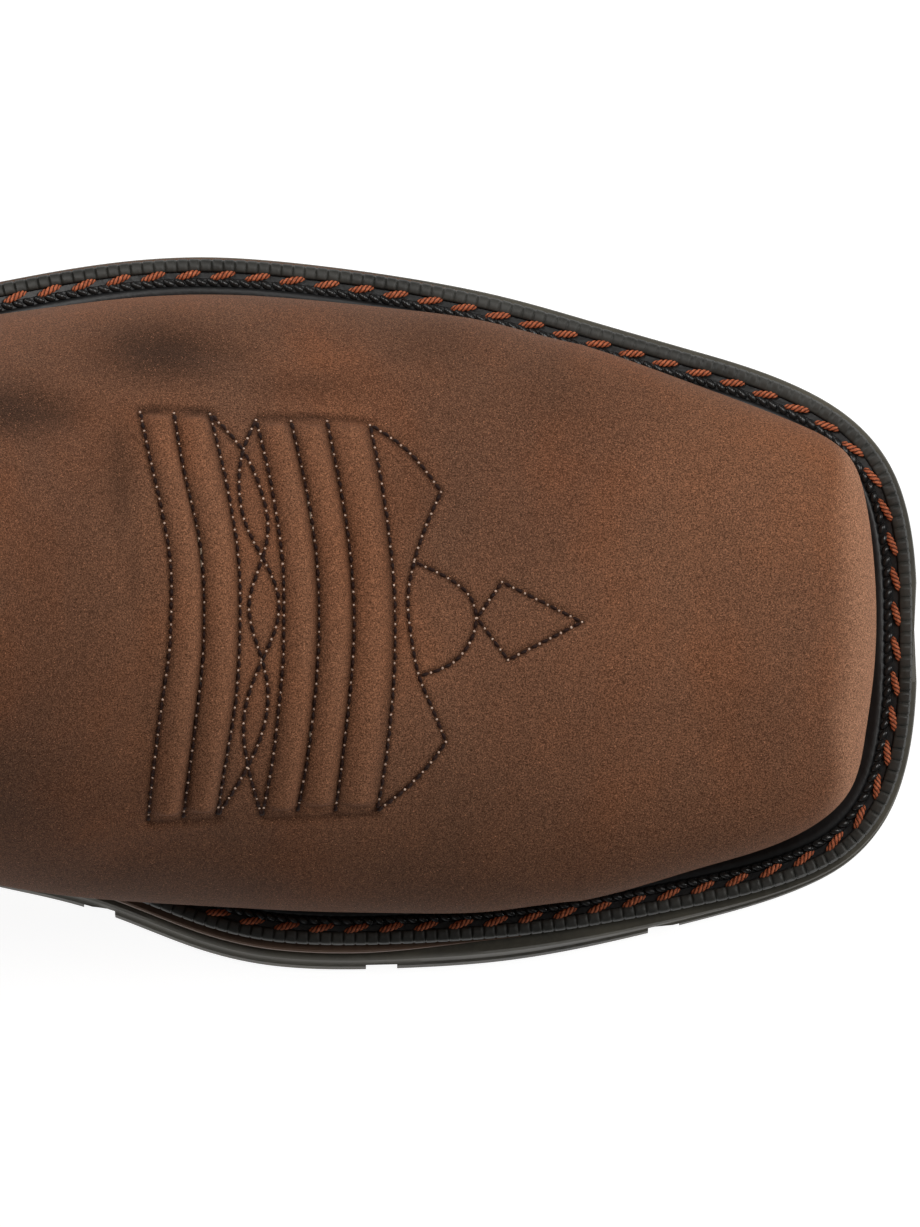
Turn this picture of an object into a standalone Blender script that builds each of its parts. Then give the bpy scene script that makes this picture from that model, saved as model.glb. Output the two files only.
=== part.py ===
"""Pull-on western work boot for the left foot, with a broad square toe.

Units are metres. +X points to the toe, +Y to the wearer's left (the outer side of
this left boot) and +Z up. The boot stands empty on its heel and forefoot lugs.
"""

import math
from collections import namedtuple

import bmesh
import bpy
import numpy as np

# Driving sizes
SOLE_LENGTH = 0.306
BALL_WIDTH = 0.118
UPPER_WIDTH = 0.102
INSTEP_HEIGHT = 0.110
HEEL_CUP_HEIGHT = 0.066
COLLAR_HEIGHT = 0.300
SHAFT_TOP_LENGTH = 0.144
SHAFT_TOP_WIDTH = 0.110
ANKLE_WIDTH = 0.082

# The sole stack
LUG_DEPTH = 0.0040
OUTSOLE_BODY = 0.0050
MIDSOLE_THICKNESS = 0.0040
WELT_THICKNESS = 0.0030
WELT_WIDTH = 0.0135
HEEL_RISE = 0.0230
HEEL_LIFT_THICKNESS = 0.0070
HEEL_LENGTH = 0.079
TOE_SPRING = 0.0110
FLAT_FROM = 0.185
FLAT_TO = 0.215
LUGS_FROM = 0.133
LUGS_TO = 0.285
WRAP_FROM = 0.212
WRAP_TO = 0.245

# How far each layer stands in from the outline of the lugs
OUTSOLE_TOP_INSET = 0.0007
MIDSOLE_INSET = 0.0011
WELT_INSET = 0.0016
HEEL_TOP_INSET = 0.0012
HEEL_TAPER = 0.0022
BREAST_SET_BACK = 0.0010
MEDIAL_FLARE = 0.0026

# Edge grooves between the lugs
GROOVE_WIDTH = 0.0052
LATERAL_GROOVE_AT = 0.161
LATERAL_PITCH = 0.039
MEDIAL_GROOVE_AT = 0.170
MEDIAL_PITCH = 0.0470
CENTRE_GROOVE_AT = 0.150
CENTRE_PITCH = 0.0195
CENTRE_HALF_WIDTH = 0.024
EDGE_GROOVE_INNER = 0.030
HEEL_GROOVE_DEPTH = 0.0025
HEEL_GROOVE_PITCH = 0.0170
HEEL_GROOVES = 3

# Leather
VAMP_THICKNESS = 0.0018
SHAFT_THICKNESS = 0.0022
COUNTER_THICKNESS = 0.0016
COUNTER_LIFT = 0.0016
INSOLE_THICKNESS = 0.0040
LAP = 0.012
GAP = 0.0003
SEAT_GAP = 0.0006
TOE_TUCK_IN = 0.0015

# Trim on the shaft
COLLAR_DIP_FRONT = 0.024
COLLAR_DIP_BACK = 0.016
BINDING_DEPTH = 0.0065
BINDING_THICKNESS = 0.0011
STRAP_WIDTH = 0.030
STRAP_THICKNESS = 0.0020
STRAP_LEG = 0.044
STRAP_LOOP = 0.016
STRAP_EASE = 0.0040
STRAP_SWELL = 1.6
SEAM_WIDTH = 0.0060
SEAM_THICKNESS = 0.0014

# Toe fan: the foot section where the fan round the toe starts, and its last centre
FAN_ROW = 2
FAN_CENTRE = 0.902

# Grid of the solids
TOE_ROWS = 8
FOOT_ROW_STEP = 0.0130
SHAFT_ROW_STEP = 0.0240
HALF_COLUMNS = 14
SOLE_STATIONS = 38

PlanRow = namedtuple("PlanRow", "along lateral medial")

# Outline of the lugs: along is a share of SOLE_LENGTH, the rest of BALL_WIDTH
SOLE_PLAN = [
    PlanRow(0.007, 0.119, 0.119),
    PlanRow(0.020, 0.195, 0.195),
    PlanRow(0.046, 0.263, 0.263),
    PlanRow(0.082, 0.309, 0.305),
    PlanRow(0.131, 0.335, 0.326),
    PlanRow(0.180, 0.345, 0.331),
    PlanRow(0.245, 0.349, 0.324),
    PlanRow(0.310, 0.362, 0.315),
    PlanRow(0.376, 0.390, 0.325),
    PlanRow(0.441, 0.431, 0.360),
    PlanRow(0.502, 0.464, 0.400),
    PlanRow(0.556, 0.490, 0.431),
    PlanRow(0.611, 0.501, 0.475),
    PlanRow(0.665, 0.492, 0.497),
    PlanRow(0.719, 0.473, 0.497),
    PlanRow(0.775, 0.443, 0.487),
    PlanRow(0.827, 0.408, 0.464),
    PlanRow(0.882, 0.369, 0.430),
    PlanRow(0.937, 0.317, 0.386),
    PlanRow(0.964, 0.273, 0.347),
    PlanRow(0.985, 0.208, 0.281),
    PlanRow(0.996, 0.125, 0.194),
]
SOLE_TOE = PlanRow(1.0, -0.034, 0.034)
SOLE_BACK = PlanRow(0.0, 0.0, 0.0)

# Widest line of the upper: along is a share of SOLE_LENGTH, the rest of UPPER_WIDTH
UPPER_PLAN = [
    PlanRow(0.026, 0.352, 0.350),
    PlanRow(0.065, 0.350, 0.347),
    PlanRow(0.131, 0.347, 0.340),
    PlanRow(0.212, 0.352, 0.340),
    PlanRow(0.294, 0.375, 0.352),
    PlanRow(0.376, 0.412, 0.380),
    PlanRow(0.441, 0.444, 0.421),
    PlanRow(0.502, 0.471, 0.457),
    PlanRow(0.556, 0.494, 0.474),
    PlanRow(0.611, 0.505, 0.483),
    PlanRow(0.665, 0.498, 0.491),
    PlanRow(0.719, 0.483, 0.494),
    PlanRow(0.775, 0.458, 0.490),
    PlanRow(0.827, 0.416, 0.468),
    PlanRow(0.882, 0.356, 0.421),
    PlanRow(0.935, 0.294, 0.366),
    PlanRow(0.962, 0.240, 0.296),
    PlanRow(0.970, 0.176, 0.208),
    PlanRow(0.9745, 0.080, 0.110),
]
UPPER_TOE = PlanRow(0.976, -0.014, 0.014)

SectionRow = namedtuple("SectionRow", "foot seat front ridge feather belly tuck arch")

# Foot sections from the toe to the back of the heel. foot and front are shares of
# SOLE_LENGTH, seat of HEEL_CUP_HEIGHT, ridge of INSTEP_HEIGHT; feather is the share of
# the half width kept at the welt, belly the height share of the widest line, and tuck
# and arch are the powers that shape the curve below and above it.
FOOT_SECTIONS = [
    SectionRow(0.977, 0.00, 0.977, 0.475, 0.960, 0.36, 0.96, 2.70),
    SectionRow(0.902, 0.00, 0.902, 0.512, 0.958, 0.34, 0.96, 2.55),
    SectionRow(0.817, 0.00, 0.817, 0.560, 0.955, 0.31, 0.97, 2.35),
    SectionRow(0.768, 0.00, 0.768, 0.596, 0.955, 0.29, 0.98, 2.25),
    SectionRow(0.719, 0.00, 0.720, 0.640, 0.952, 0.28, 1.00, 2.15),
    SectionRow(0.670, 0.00, 0.676, 0.690, 0.950, 0.27, 1.00, 2.08),
    SectionRow(0.621, 0.00, 0.633, 0.745, 0.945, 0.26, 1.00, 2.02),
    SectionRow(0.572, 0.00, 0.594, 0.803, 0.940, 0.26, 1.00, 1.98),
    SectionRow(0.520, 0.00, 0.556, 0.865, 0.930, 0.27, 1.00, 1.95),
    SectionRow(0.458, 0.00, 0.520, 0.943, 0.920, 0.28, 1.00, 1.92),
    SectionRow(0.376, 0.00, 0.488, 1.034, 0.915, 0.30, 1.00, 1.90),
    SectionRow(0.294, 0.00, 0.466, 1.122, 0.920, 0.33, 1.00, 1.90),
    SectionRow(0.212, 0.00, 0.452, 1.208, 0.925, 0.36, 0.98, 1.92),
    SectionRow(0.131, 0.00, 0.444, 1.292, 0.900, 0.40, 0.94, 1.95),
    SectionRow(0.065, 0.00, 0.440, 1.366, 0.700, 0.46, 0.90, 1.98),
    SectionRow(0.036, 0.00, 0.438, 1.405, 0.420, 0.48, 0.86, 2.00),
    SectionRow(0.024, 0.00, 0.437, 1.440, 0.000, 0.48, 0.80, 2.00),
    SectionRow(0.014, 0.24, 0.437, 1.520, 0.000, 0.49, 0.80, 2.00),
    SectionRow(0.012, 0.44, 0.438, 1.605, 0.000, 0.49, 0.82, 2.02),
    SectionRow(0.020, 0.70, 0.439, 1.710, 0.000, 0.49, 0.86, 2.05),
    SectionRow(0.032, 1.00, 0.441, 1.830, 0.000, 0.49, 0.90, 2.08),
]

FAN_FROM = FOOT_SECTIONS[FAN_ROW].foot

ShaftRow = namedtuple("ShaftRow", "back rise front climb spread")

# Shaft sections above the ankle. back and front are shares of SOLE_LENGTH, rise and
# climb the shares of the way to the collar behind and in front, and spread the share
# of the way from the ankle's width to the top's.
SHAFT_SECTIONS = [
    ShaftRow(0.036, 0.14, 0.445, 0.15, 0.10),
    ShaftRow(0.030, 0.34, 0.451, 0.36, 0.36),
    ShaftRow(0.016, 0.57, 0.457, 0.60, 0.68),
    ShaftRow(0.002, 0.80, 0.462, 0.82, 0.90),
    ShaftRow(-0.006, 1.00, 0.465, 1.00, 1.00),
    ShaftRow(-0.008, 1.06, 0.466, 1.06, 1.02),
]

LineRow = namedtuple("LineRow", "along up")

# Edges drawn in the side view: along is a share of SOLE_LENGTH, up of INSTEP_HEIGHT
VAMP_LINE = [
    LineRow(-0.10, 0.930),
    LineRow(0.02, 0.925),
    LineRow(0.12, 0.870),
    LineRow(0.22, 0.800),
    LineRow(0.29, 0.790),
    LineRow(0.36, 0.860),
    LineRow(0.41, 1.000),
    LineRow(0.44, 1.200),
    LineRow(0.47, 1.340),
    LineRow(0.54, 1.420),
]
COUNTER_LINE = [
    LineRow(-0.10, 0.850),
    LineRow(0.02, 0.850),
    LineRow(0.12, 0.800),
    LineRow(0.20, 0.735),
    LineRow(0.25, 0.690),
    LineRow(0.285, 0.600),
    LineRow(0.325, 0.440),
    LineRow(0.352, 0.320),
]

# How far along the fan of sections each layer reaches
UPPER_TO = 0.86
SHAFT_FROM = 0.28
COUNTER_FROM = 0.20
COUNTER_TO = 0.72

# Levels outside the boot where its cutters end
CLEAR_ABOVE = 1.5 * COLLAR_HEIGHT
CLEAR_BELOW = -0.3 * COLLAR_HEIGHT

# Steps of the forms' own slopes, and how far a plate's end stands inside its outline
SLOPE_STEP = 0.0020
END_MARGIN = 0.00012

# The section at the collar
TOP_SECTION = next(row for row in SHAFT_SECTIONS if row.rise == 1.0)

LATERAL, MEDIAL = 0, 1
SIDE_SIGN = (1.0, -1.0)


def clear_scene():
    for item in list(bpy.data.objects):
        bpy.data.objects.remove(item, do_unlink=True)


def smoothstep(t):
    t = np.clip(t, 0.0, 1.0)
    return t * t * (3.0 - 2.0 * t)


def spline(params, values, at):
    """Natural cubic spline through rows of values, read at new parameters."""
    params = np.asarray(params, float)
    values = np.asarray(values, float)
    count = len(params)
    step = np.diff(params)
    slope = np.diff(values, axis=0) / step[:, None]
    system = np.eye(count)
    target = np.zeros_like(values)
    for i in range(1, count - 1):
        system[i, i - 1 : i + 2] = step[i - 1], 2 * (step[i - 1] + step[i]), step[i]
        target[i] = 6 * (slope[i] - slope[i - 1])
    bend = np.linalg.solve(system, target)
    at = np.clip(np.asarray(at, float), params[0], params[-1])
    k = np.clip(np.searchsorted(params, at, side="right") - 1, 0, count - 2)
    h = step[k][:, None]
    left = (params[k + 1] - at)[:, None]
    right = (at - params[k])[:, None]
    cubic = (bend[k] * left**3 + bend[k + 1] * right**3) / (6 * h)
    return (
        cubic
        + (values[k] / h - bend[k] * h / 6) * left
        + (values[k + 1] / h - bend[k + 1] * h / 6) * right
    )


def chord_params(points):
    steps = np.linalg.norm(np.diff(np.asarray(points, float), axis=0), axis=1)
    return np.concatenate([[0.0], np.cumsum(steps)])


def plan_curve(rows, toe, width, back=None, samples=1200):
    """Dense outline in plan from the back, along the outer side, round the toe and back."""
    outer = [(row.along * SOLE_LENGTH, row.lateral * width) for row in rows]
    inner = [(row.along * SOLE_LENGTH, -row.medial * width) for row in rows]
    tip = [(toe.along * SOLE_LENGTH, toe.lateral * width)]
    points = outer + tip + inner[::-1]
    if back is None:
        knots = chord_params(points)
        return spline(knots, points, np.linspace(knots[0], knots[-1], samples))
    heel = (back.along * SOLE_LENGTH, back.lateral * width)
    wrapped = [inner[1], inner[0], heel] + points + [heel, outer[0], outer[1]]
    knots = chord_params(wrapped)
    return spline(knots, wrapped, np.linspace(knots[2], knots[-3], samples))


def inset_curve(curve, distance):
    """Moves a dense outline inwards by a distance that may change along it."""
    tangent = np.gradient(curve, axis=0)
    tangent /= np.linalg.norm(tangent, axis=1)[:, None]
    inward = np.stack([tangent[:, 1], -tangent[:, 0]], axis=1)
    return curve + inward * np.asarray(distance)[:, None]


def split_sides(curve):
    """The outer and inner halves of a dense outline, each with x rising."""
    tip = int(np.argmax(curve[:, 0]))
    return curve[: tip + 1], curve[tip:][::-1]


def half_width(side, x):
    return np.interp(x, side[:, 0], side[:, 1])


def rise(x):
    """How far the underside of the sole stands above its lowest plane."""
    x = np.asarray(x, float)
    pitch = HEEL_RISE * (1.0 - smoothstep((x - HEEL_LENGTH) / (FLAT_FROM - HEEL_LENGTH)))
    roll = np.clip((x - FLAT_TO) / (SOLE_LENGTH - FLAT_TO), 0.0, None)
    return pitch + TOE_SPRING * roll**2


def outsole_top(x):
    wrap = smoothstep((np.asarray(x) - WRAP_FROM) / (WRAP_TO - WRAP_FROM))
    return rise(x) + LUG_DEPTH + OUTSOLE_BODY + wrap * MIDSOLE_THICKNESS


def outsole_bottom(x):
    return rise(x) + np.where(np.asarray(x) < LUGS_FROM, LUG_DEPTH, 0.0)


def midsole_top(x):
    return rise(x) + LUG_DEPTH + OUTSOLE_BODY + MIDSOLE_THICKNESS


def welt_bottom(x):
    return midsole_top(x) + GAP


def welt_top(x):
    return welt_bottom(x) + WELT_THICKNESS


def feather(x):
    """Height of the upper's lower edge, just over the welt."""
    return welt_top(x) + SEAT_GAP


def flare_inset(curve, base, share):
    """Inset of a layer: a plain margin, and more along the inner side of the ball."""
    along = curve[:, 0] / SOLE_LENGTH
    inner = smoothstep(-curve[:, 1] / (0.2 * BALL_WIDTH))
    hump = smoothstep((along - 0.30) / 0.25) * (1.0 - smoothstep((along - 0.74) / 0.24))
    return base + share * MEDIAL_FLARE * inner * hump


def control_rows():
    """Foot and shaft sections in metres, as one array with a row for each section."""
    side_widths = split_sides(plan_curve(UPPER_PLAN, UPPER_TOE, UPPER_WIDTH))
    rows = []
    for row in FOOT_SECTIONS:
        foot = row.foot * SOLE_LENGTH
        lateral = half_width(side_widths[LATERAL], foot)
        medial = half_width(side_widths[MEDIAL], foot)
        lift = row.seat * HEEL_CUP_HEIGHT
        ankle = smoothstep((row.seat - 0.2) / 0.8) * 0.5 * ANKLE_WIDTH
        keep = 1.0 - smoothstep((row.seat - 0.2) / 0.8)
        rows.append(
            [
                foot,
                float(feather(foot)) + lift,
                row.front * SOLE_LENGTH,
                row.ridge * INSTEP_HEIGHT,
                keep * lateral + ankle,
                keep * medial - ankle,
                row.feather,
                row.belly,
                row.tuck,
                row.arch,
            ]
        )
    back_from = rows[-1][1]
    front_from = rows[-1][3]
    drawn_length = (TOP_SECTION.front - TOP_SECTION.back) * SOLE_LENGTH
    length_share = SHAFT_TOP_LENGTH / drawn_length
    for row in SHAFT_SECTIONS:
        half = 0.5 * (ANKLE_WIDTH + row.spread * (SHAFT_TOP_WIDTH - ANKLE_WIDTH))
        middle = 0.5 * (row.back + row.front) * SOLE_LENGTH
        reach = 0.5 * (row.front - row.back) * SOLE_LENGTH
        reach *= 1.0 + row.spread * (length_share - 1.0)
        rows.append(
            [
                middle - reach,
                back_from + row.rise * (COLLAR_HEIGHT - back_from),
                middle + reach,
                front_from + row.climb * (COLLAR_HEIGHT - front_from),
                half,
                -half,
                0.0,
                0.49,
                0.94,
                2.1,
            ]
        )
    return np.array(rows)


def spine_shift(x):
    """The ridge of the vamp drifts a little to the inner side towards the toe."""
    return -0.03 * UPPER_WIDTH * smoothstep((x / SOLE_LENGTH - 0.50) / 0.36)


class UpperForm:
    """The outer face of the upper and shaft as a fan of cross sections over the last."""

    def __init__(self):
        self.rows = control_rows()
        low = self.rows[:, 0:2]
        high = self.rows[:, 2:4]
        self.knots = 0.75 * chord_params(low) + 0.25 * chord_params(high)
        dense = np.linspace(0.0, self.knots[-1], 2000)
        self.dense = spline(self.knots, self.rows, dense)
        self.dense_knots = dense
        on_foot = dense <= self.knots[len(FOOT_SECTIONS) - 1]
        self.turn = int(np.argmin(np.where(on_foot, self.dense[:, 0], np.inf)))
        self.fan_from = self.knots[FAN_ROW]
        open_rows = [k for k, row in enumerate(FOOT_SECTIONS) if row.feather > 0.0]
        self.closed_from = self.knots[open_rows[-1] + 1]
        plan = plan_curve(UPPER_PLAN, UPPER_TOE, UPPER_WIDTH)
        self.toe_outline = [self.toe_part(side) for side in split_sides(plan)]

    def body_params(self, first=0.0, last=1.0):
        """Mesh rows behind the toe, the same for every layer so that the layers nest."""
        rows = [self.knots[FAN_ROW]]
        for k in range(FAN_ROW, len(self.knots) - 1):
            start, end = self.knots[k], self.knots[k + 1]
            size = FOOT_ROW_STEP if k < len(FOOT_SECTIONS) else SHAFT_ROW_STEP
            count = max(1, round((end - start) / size))
            rows.extend(np.linspace(start, end, count + 1)[1:])
        u = (np.array(rows) - self.fan_from) / (self.knots[-1] - self.fan_from)
        return u[(u >= first) & (u <= last)]

    def param_at(self, x):
        """Section parameter of a foot section by where it stands on the sole."""
        foot = self.dense[: self.turn, 0]
        return float(np.interp(-x, -foot, self.dense_knots[: self.turn]))

    def toe_part(self, side):
        """Dense outline round the toe, from the first turned section to the tip."""
        start = FAN_FROM * SOLE_LENGTH
        first = [start, float(half_width(side, start))]
        points = np.vstack([[first], side[side[:, 0] > start]])
        return points, chord_params(points)

    def section(self, side, u):
        """Section data for one side. u runs from -1 at the toe's middle line, through
        0 where the fan starts, to 1 at the top."""
        if u >= 0.0:
            at = self.fan_from + u * (self.knots[-1] - self.fan_from)
            row = spline(self.knots, self.rows, [at])[0]
            width = row[4 + side]
            shift = float(spine_shift(row[0]))
            return dict(
                low=row[0:2],
                top=row[2:4],
                slope=0.0,
                shift=shift,
                reach=(0.0, width - shift),
                feather=max(row[6], 0.0) if at < self.closed_from else 0.0,
                belly=row[7],
                tuck=row[8],
                arch=row[9],
            )
        outline, lengths = self.toe_outline[side]
        share = -u
        at = share * lengths[-1]
        x = float(np.interp(at, lengths, outline[:, 0]))
        y = float(np.interp(at, lengths, outline[:, 1]))
        start = FAN_FROM * SOLE_LENGTH
        travel = (FAN_CENTRE - FAN_FROM) * SOLE_LENGTH
        power = lengths[-1] / travel
        centre = start + travel * (1.0 - (1.0 - share) ** power)
        ridge = spline(self.knots, self.rows, [self.param_at(centre)])[0]
        ahead = spline(self.knots, self.rows, [self.param_at(centre + SLOPE_STEP)])[0]
        shape = spline(self.knots, self.rows, [self.param_at(x)])[0]
        shift = float(spine_shift(centre))
        reach = (x - centre, y - shift)
        length = math.hypot(*reach)
        blend = float(smoothstep(share / 0.35))
        keep = (1.0 - blend) * shape[6] + blend * (1.0 - TOE_TUCK_IN / length)
        return dict(
            low=np.array([centre, float(feather(centre + keep * reach[0]))]),
            top=np.array([centre, ridge[3]]),
            slope=(ahead[3] - ridge[3]) / SLOPE_STEP,
            shift=shift,
            reach=reach,
            feather=keep,
            belly=shape[7],
            tuck=shape[8],
            arch=shape[9],
        )

    def half(self, side, u, t):
        """Points of one side of a section: t runs from the welt at 0 to the ridge at 1."""
        data = self.section(side, u)
        split = float(np.clip(1.667 * data["belly"] - 0.3, 0.15, 0.5))
        t = np.asarray(t, float)
        start = math.asin(min(data["feather"], 1.0) ** (1.0 / data["tuck"]))
        below = start + np.clip(t / split, 0.0, 1.0) * (math.pi / 2 - start)
        above = np.clip((t - split) / (1.0 - split), 0.0, 1.0) * math.pi / 2
        power = 2.0 / data["arch"]
        out_low = np.sin(below) ** data["tuck"]
        up_low = data["belly"] * (1.0 - np.cos(below) / math.cos(start))
        out_high = np.clip(np.cos(above), 0.0, 1.0) ** power
        up_high = data["belly"] + (1.0 - data["belly"]) * np.sin(above) ** power
        out = np.where(t < split, out_low, out_high)
        up = np.where(t < split, up_low, up_high)
        dx, dy = data["reach"]
        x = data["low"][0] + up * (data["top"][0] - data["low"][0]) + out * dx
        ceiling = data["top"][1] + data["slope"] * out * dx
        z = data["low"][1] + up * (ceiling - data["low"][1])
        return np.stack([x, data["shift"] + out * dy, z], axis=1)


def sheet_from_form(form, u_values, t_values, sides=(LATERAL, MEDIAL)):
    """Open sheet over the form, with the two sides welded along their shared lines."""
    mesh = bmesh.new()
    for side in sides:
        grid = [
            [mesh.verts.new(point) for point in form.half(side, u, t_values)]
            for u in u_values
        ]
        for i in range(len(grid) - 1):
            for j in range(len(t_values) - 1):
                corners = [grid[i][j], grid[i][j + 1], grid[i + 1][j + 1], grid[i + 1][j]]
                for corner in ((0, 1, 2), (0, 2, 3)):
                    order = corner if side == LATERAL else corner[::-1]
                    mesh.faces.new([corners[k] for k in order])
    bmesh.ops.remove_doubles(mesh, verts=mesh.verts, dist=1e-6)
    bmesh.ops.dissolve_degenerate(mesh, edges=mesh.edges, dist=1e-7)
    bmesh.ops.recalc_face_normals(mesh, faces=mesh.faces)
    mesh.normal_update()
    top = max(mesh.faces, key=lambda face: abs(face.normal.y) * face.calc_area())
    if top.normal.y * top.calc_center_median().y < 0:
        bmesh.ops.reverse_faces(mesh, faces=mesh.faces)
        mesh.normal_update()
    return mesh


def thicken(sheet, inner, outer):
    """Closed shell between two distances along a sheet's normals."""
    sheet.verts.index_update()
    normals = [vert.normal.copy() for vert in sheet.verts]
    solid = bmesh.new()
    face_out = [solid.verts.new(v.co + normals[v.index] * outer) for v in sheet.verts]
    face_in = [solid.verts.new(v.co + normals[v.index] * inner) for v in sheet.verts]
    for face in sheet.faces:
        order = [vert.index for vert in face.verts]
        solid.faces.new([face_out[k] for k in order])
        solid.faces.new([face_in[k] for k in reversed(order)])
    for edge in sheet.edges:
        if len(edge.link_faces) != 1:
            continue
        loop = edge.link_loops[0]
        a, b = loop.vert.index, loop.link_loop_next.vert.index
        solid.faces.new([face_out[b], face_out[a], face_in[a], face_in[b]])
    sheet.free()
    return solid


def finish_mesh(name, solid, sharp=35.0):
    """Turns a bmesh into a named object, shaded smooth with its sharp edges kept."""
    bmesh.ops.recalc_face_normals(solid, faces=solid.faces)
    mesh = bpy.data.meshes.new(name)
    solid.to_mesh(mesh)
    solid.free()
    mesh.shade_smooth()
    mesh.set_sharp_from_angle(angle=math.radians(sharp))
    item = bpy.data.objects.new(name, mesh)
    bpy.context.scene.collection.objects.link(item)
    return item


def ladder(name, low, high, low_z, high_z, end=None, stations=SOLE_STATIONS):
    """Plate between a lower and an upper outline whose heights follow x."""
    solid = bmesh.new()
    low_sides, high_sides = split_sides(low), split_sides(high)
    rows = []
    for share in 0.5 - 0.5 * np.cos(np.linspace(0.0, 1.0, stations) * math.pi):
        row = []
        for sides, height in ((low_sides, low_z), (high_sides, high_z)):
            first = sides[0][:, 0].min() + END_MARGIN
            last = sides[0][:, 0].max() - END_MARGIN if end is None else end
            x = first + share * (last - first)
            for side in sides:
                y = float(half_width(side, x))
                row.append(solid.verts.new((x, y, float(height(x)))))
        rows.append(row)
    for one, two in zip(rows, rows[1:]):
        for a, b in ((0, 1), (1, 3), (3, 2), (2, 0)):
            solid.faces.new([one[a], one[b], two[b], two[a]])
    for row in (rows[0], rows[-1]):
        solid.faces.new([row[0], row[1], row[3], row[2]])
    return finish_mesh(name, solid)


def band(name, curve, width, low_z, high_z, keep, spacing=0.0066):
    """Strip of even width along the part of an outline that keep(x) selects."""
    inner_curve = inset_curve(curve, np.full(len(curve), width))
    picked = np.where(keep(curve[:, 0]))[0]
    jumps = np.where(np.diff(picked) > 1)[0]
    if len(jumps):
        picked = np.concatenate([picked[jumps[0] + 1 :], picked[: jumps[0] + 1]])
    outer, inner = curve[picked], inner_curve[picked]
    lengths = chord_params(outer)
    count = int(round(lengths[-1] / spacing)) + 1
    at = np.linspace(0.0, lengths[-1], count)
    solid = bmesh.new()
    rings = []
    for s in at:
        ring = []
        for line, height in ((outer, low_z), (outer, high_z), (inner, high_z), (inner, low_z)):
            x = float(np.interp(s, lengths, line[:, 0]))
            y = float(np.interp(s, lengths, line[:, 1]))
            ring.append(solid.verts.new((x, y, float(height(x)))))
        rings.append(ring)
    for one, two in zip(rings, rings[1:]):
        for a in range(4):
            b = (a + 1) % 4
            solid.faces.new([one[a], one[b], two[b], two[a]])
    solid.faces.new(rings[0])
    solid.faces.new(rings[-1])
    return finish_mesh(name, solid)


def as_cutter(item):
    item.hide_render = True
    item.display_type = "WIRE"
    return item


def bar_cutter(name, centre, size, angle=0.0):
    """Box that cuts one groove, turned about the vertical."""
    solid = bmesh.new()
    bmesh.ops.create_cube(solid, size=1.0)
    bmesh.ops.scale(solid, vec=size, verts=solid.verts)
    item = finish_mesh(name, solid)
    item.location = centre
    item.rotation_euler = (0.0, 0.0, angle)
    return as_cutter(item)


def side_prism(name, line, beyond, half_width_y=0.12):
    """Prism across the boot between a line in the side view and the points beyond it."""
    outline = [(x, z) for x, z in line] + beyond
    solid = bmesh.new()
    near = [solid.verts.new((x, -half_width_y, z)) for x, z in outline]
    far = [solid.verts.new((x, half_width_y, z)) for x, z in outline]
    solid.faces.new(near)
    solid.faces.new(far[::-1])
    for a in range(len(outline)):
        b = (a + 1) % len(outline)
        solid.faces.new([near[b], near[a], far[a], far[b]])
    return as_cutter(finish_mesh(name, solid))


def level_beyond(line, z):
    """Corners that close a prism at a level beyond its line."""
    return [(line[-1][0], z), (line[0][0], z)]


def cut(item, cutter, operation="DIFFERENCE"):
    change = item.modifiers.new(cutter.name, "BOOLEAN")
    change.operation = operation
    change.object = cutter
    change.solver = "EXACT"
    change.use_self = operation == "INTERSECT"
    return item


def side_line(rows, lower=0.0, samples=22):
    """Smooth line in the side view through the rows of a short table."""
    points = np.array([(r.along * SOLE_LENGTH, r.up * INSTEP_HEIGHT - lower) for r in rows])
    knots = chord_params(points)
    return spline(knots, points, np.linspace(0.0, knots[-1], samples))


def collar_line(x):
    """Height of the scalloped collar by where it stands along the boot."""
    middle = 0.5 * (TOP_SECTION.back + TOP_SECTION.front) * SOLE_LENGTH
    reach = 0.5 * SHAFT_TOP_LENGTH
    ahead = np.clip((x - middle) / reach, 0.0, 1.2)
    behind = np.clip((middle - x) / reach, 0.0, 1.2)
    return COLLAR_HEIGHT - COLLAR_DIP_FRONT * ahead**2 - COLLAR_DIP_BACK * behind**2


def sole_outline():
    return plan_curve(SOLE_PLAN, SOLE_TOE, BALL_WIDTH, back=SOLE_BACK)


def make_outsole():
    outline = sole_outline()
    top = inset_curve(outline, flare_inset(outline, OUTSOLE_TOP_INSET, 0.5))
    sole = ladder("outsole", outline, top, outsole_bottom, outsole_top, stations=46)
    groove_height = 0.020
    reach = 0.5 * BALL_WIDTH

    def groove(name, x, y_mid, length, angle):
        level = float(rise(x)) + LUG_DEPTH - 0.5 * groove_height
        size = (GROOVE_WIDTH, length, groove_height)
        cut(sole, bar_cutter(name, (x, y_mid, level), size, angle))

    for side, start, pitch in (
        (LATERAL, LATERAL_GROOVE_AT, LATERAL_PITCH),
        (MEDIAL, MEDIAL_GROOVE_AT, MEDIAL_PITCH),
    ):
        sign = SIDE_SIGN[side]
        count = int((LUGS_TO - start) / pitch) + 1
        for k in range(count):
            y_mid = sign * (EDGE_GROOVE_INNER + 0.5 * reach)
            groove(f"cut_edge_{side}_{k}", start + k * pitch, y_mid, reach, 0.0)
    count = int((LUGS_TO - CENTRE_GROOVE_AT) / CENTRE_PITCH) + 1
    for k in range(count):
        lean = math.radians(18.0) * (1 if k % 2 else -1)
        groove(f"cut_centre_{k}", CENTRE_GROOVE_AT + k * CENTRE_PITCH, 0.0,
               2 * CENTRE_HALF_WIDTH, lean)
    return sole


def make_midsole():
    outline = sole_outline()
    edge = inset_curve(outline, flare_inset(outline, MIDSOLE_INSET, 0.7))
    share_of_wrap = 0.66
    end = WRAP_FROM + share_of_wrap * (WRAP_TO - WRAP_FROM)
    return ladder(
        "midsole", edge, edge, lambda x: outsole_top(x) + GAP, midsole_top, end=end
    )


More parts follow.
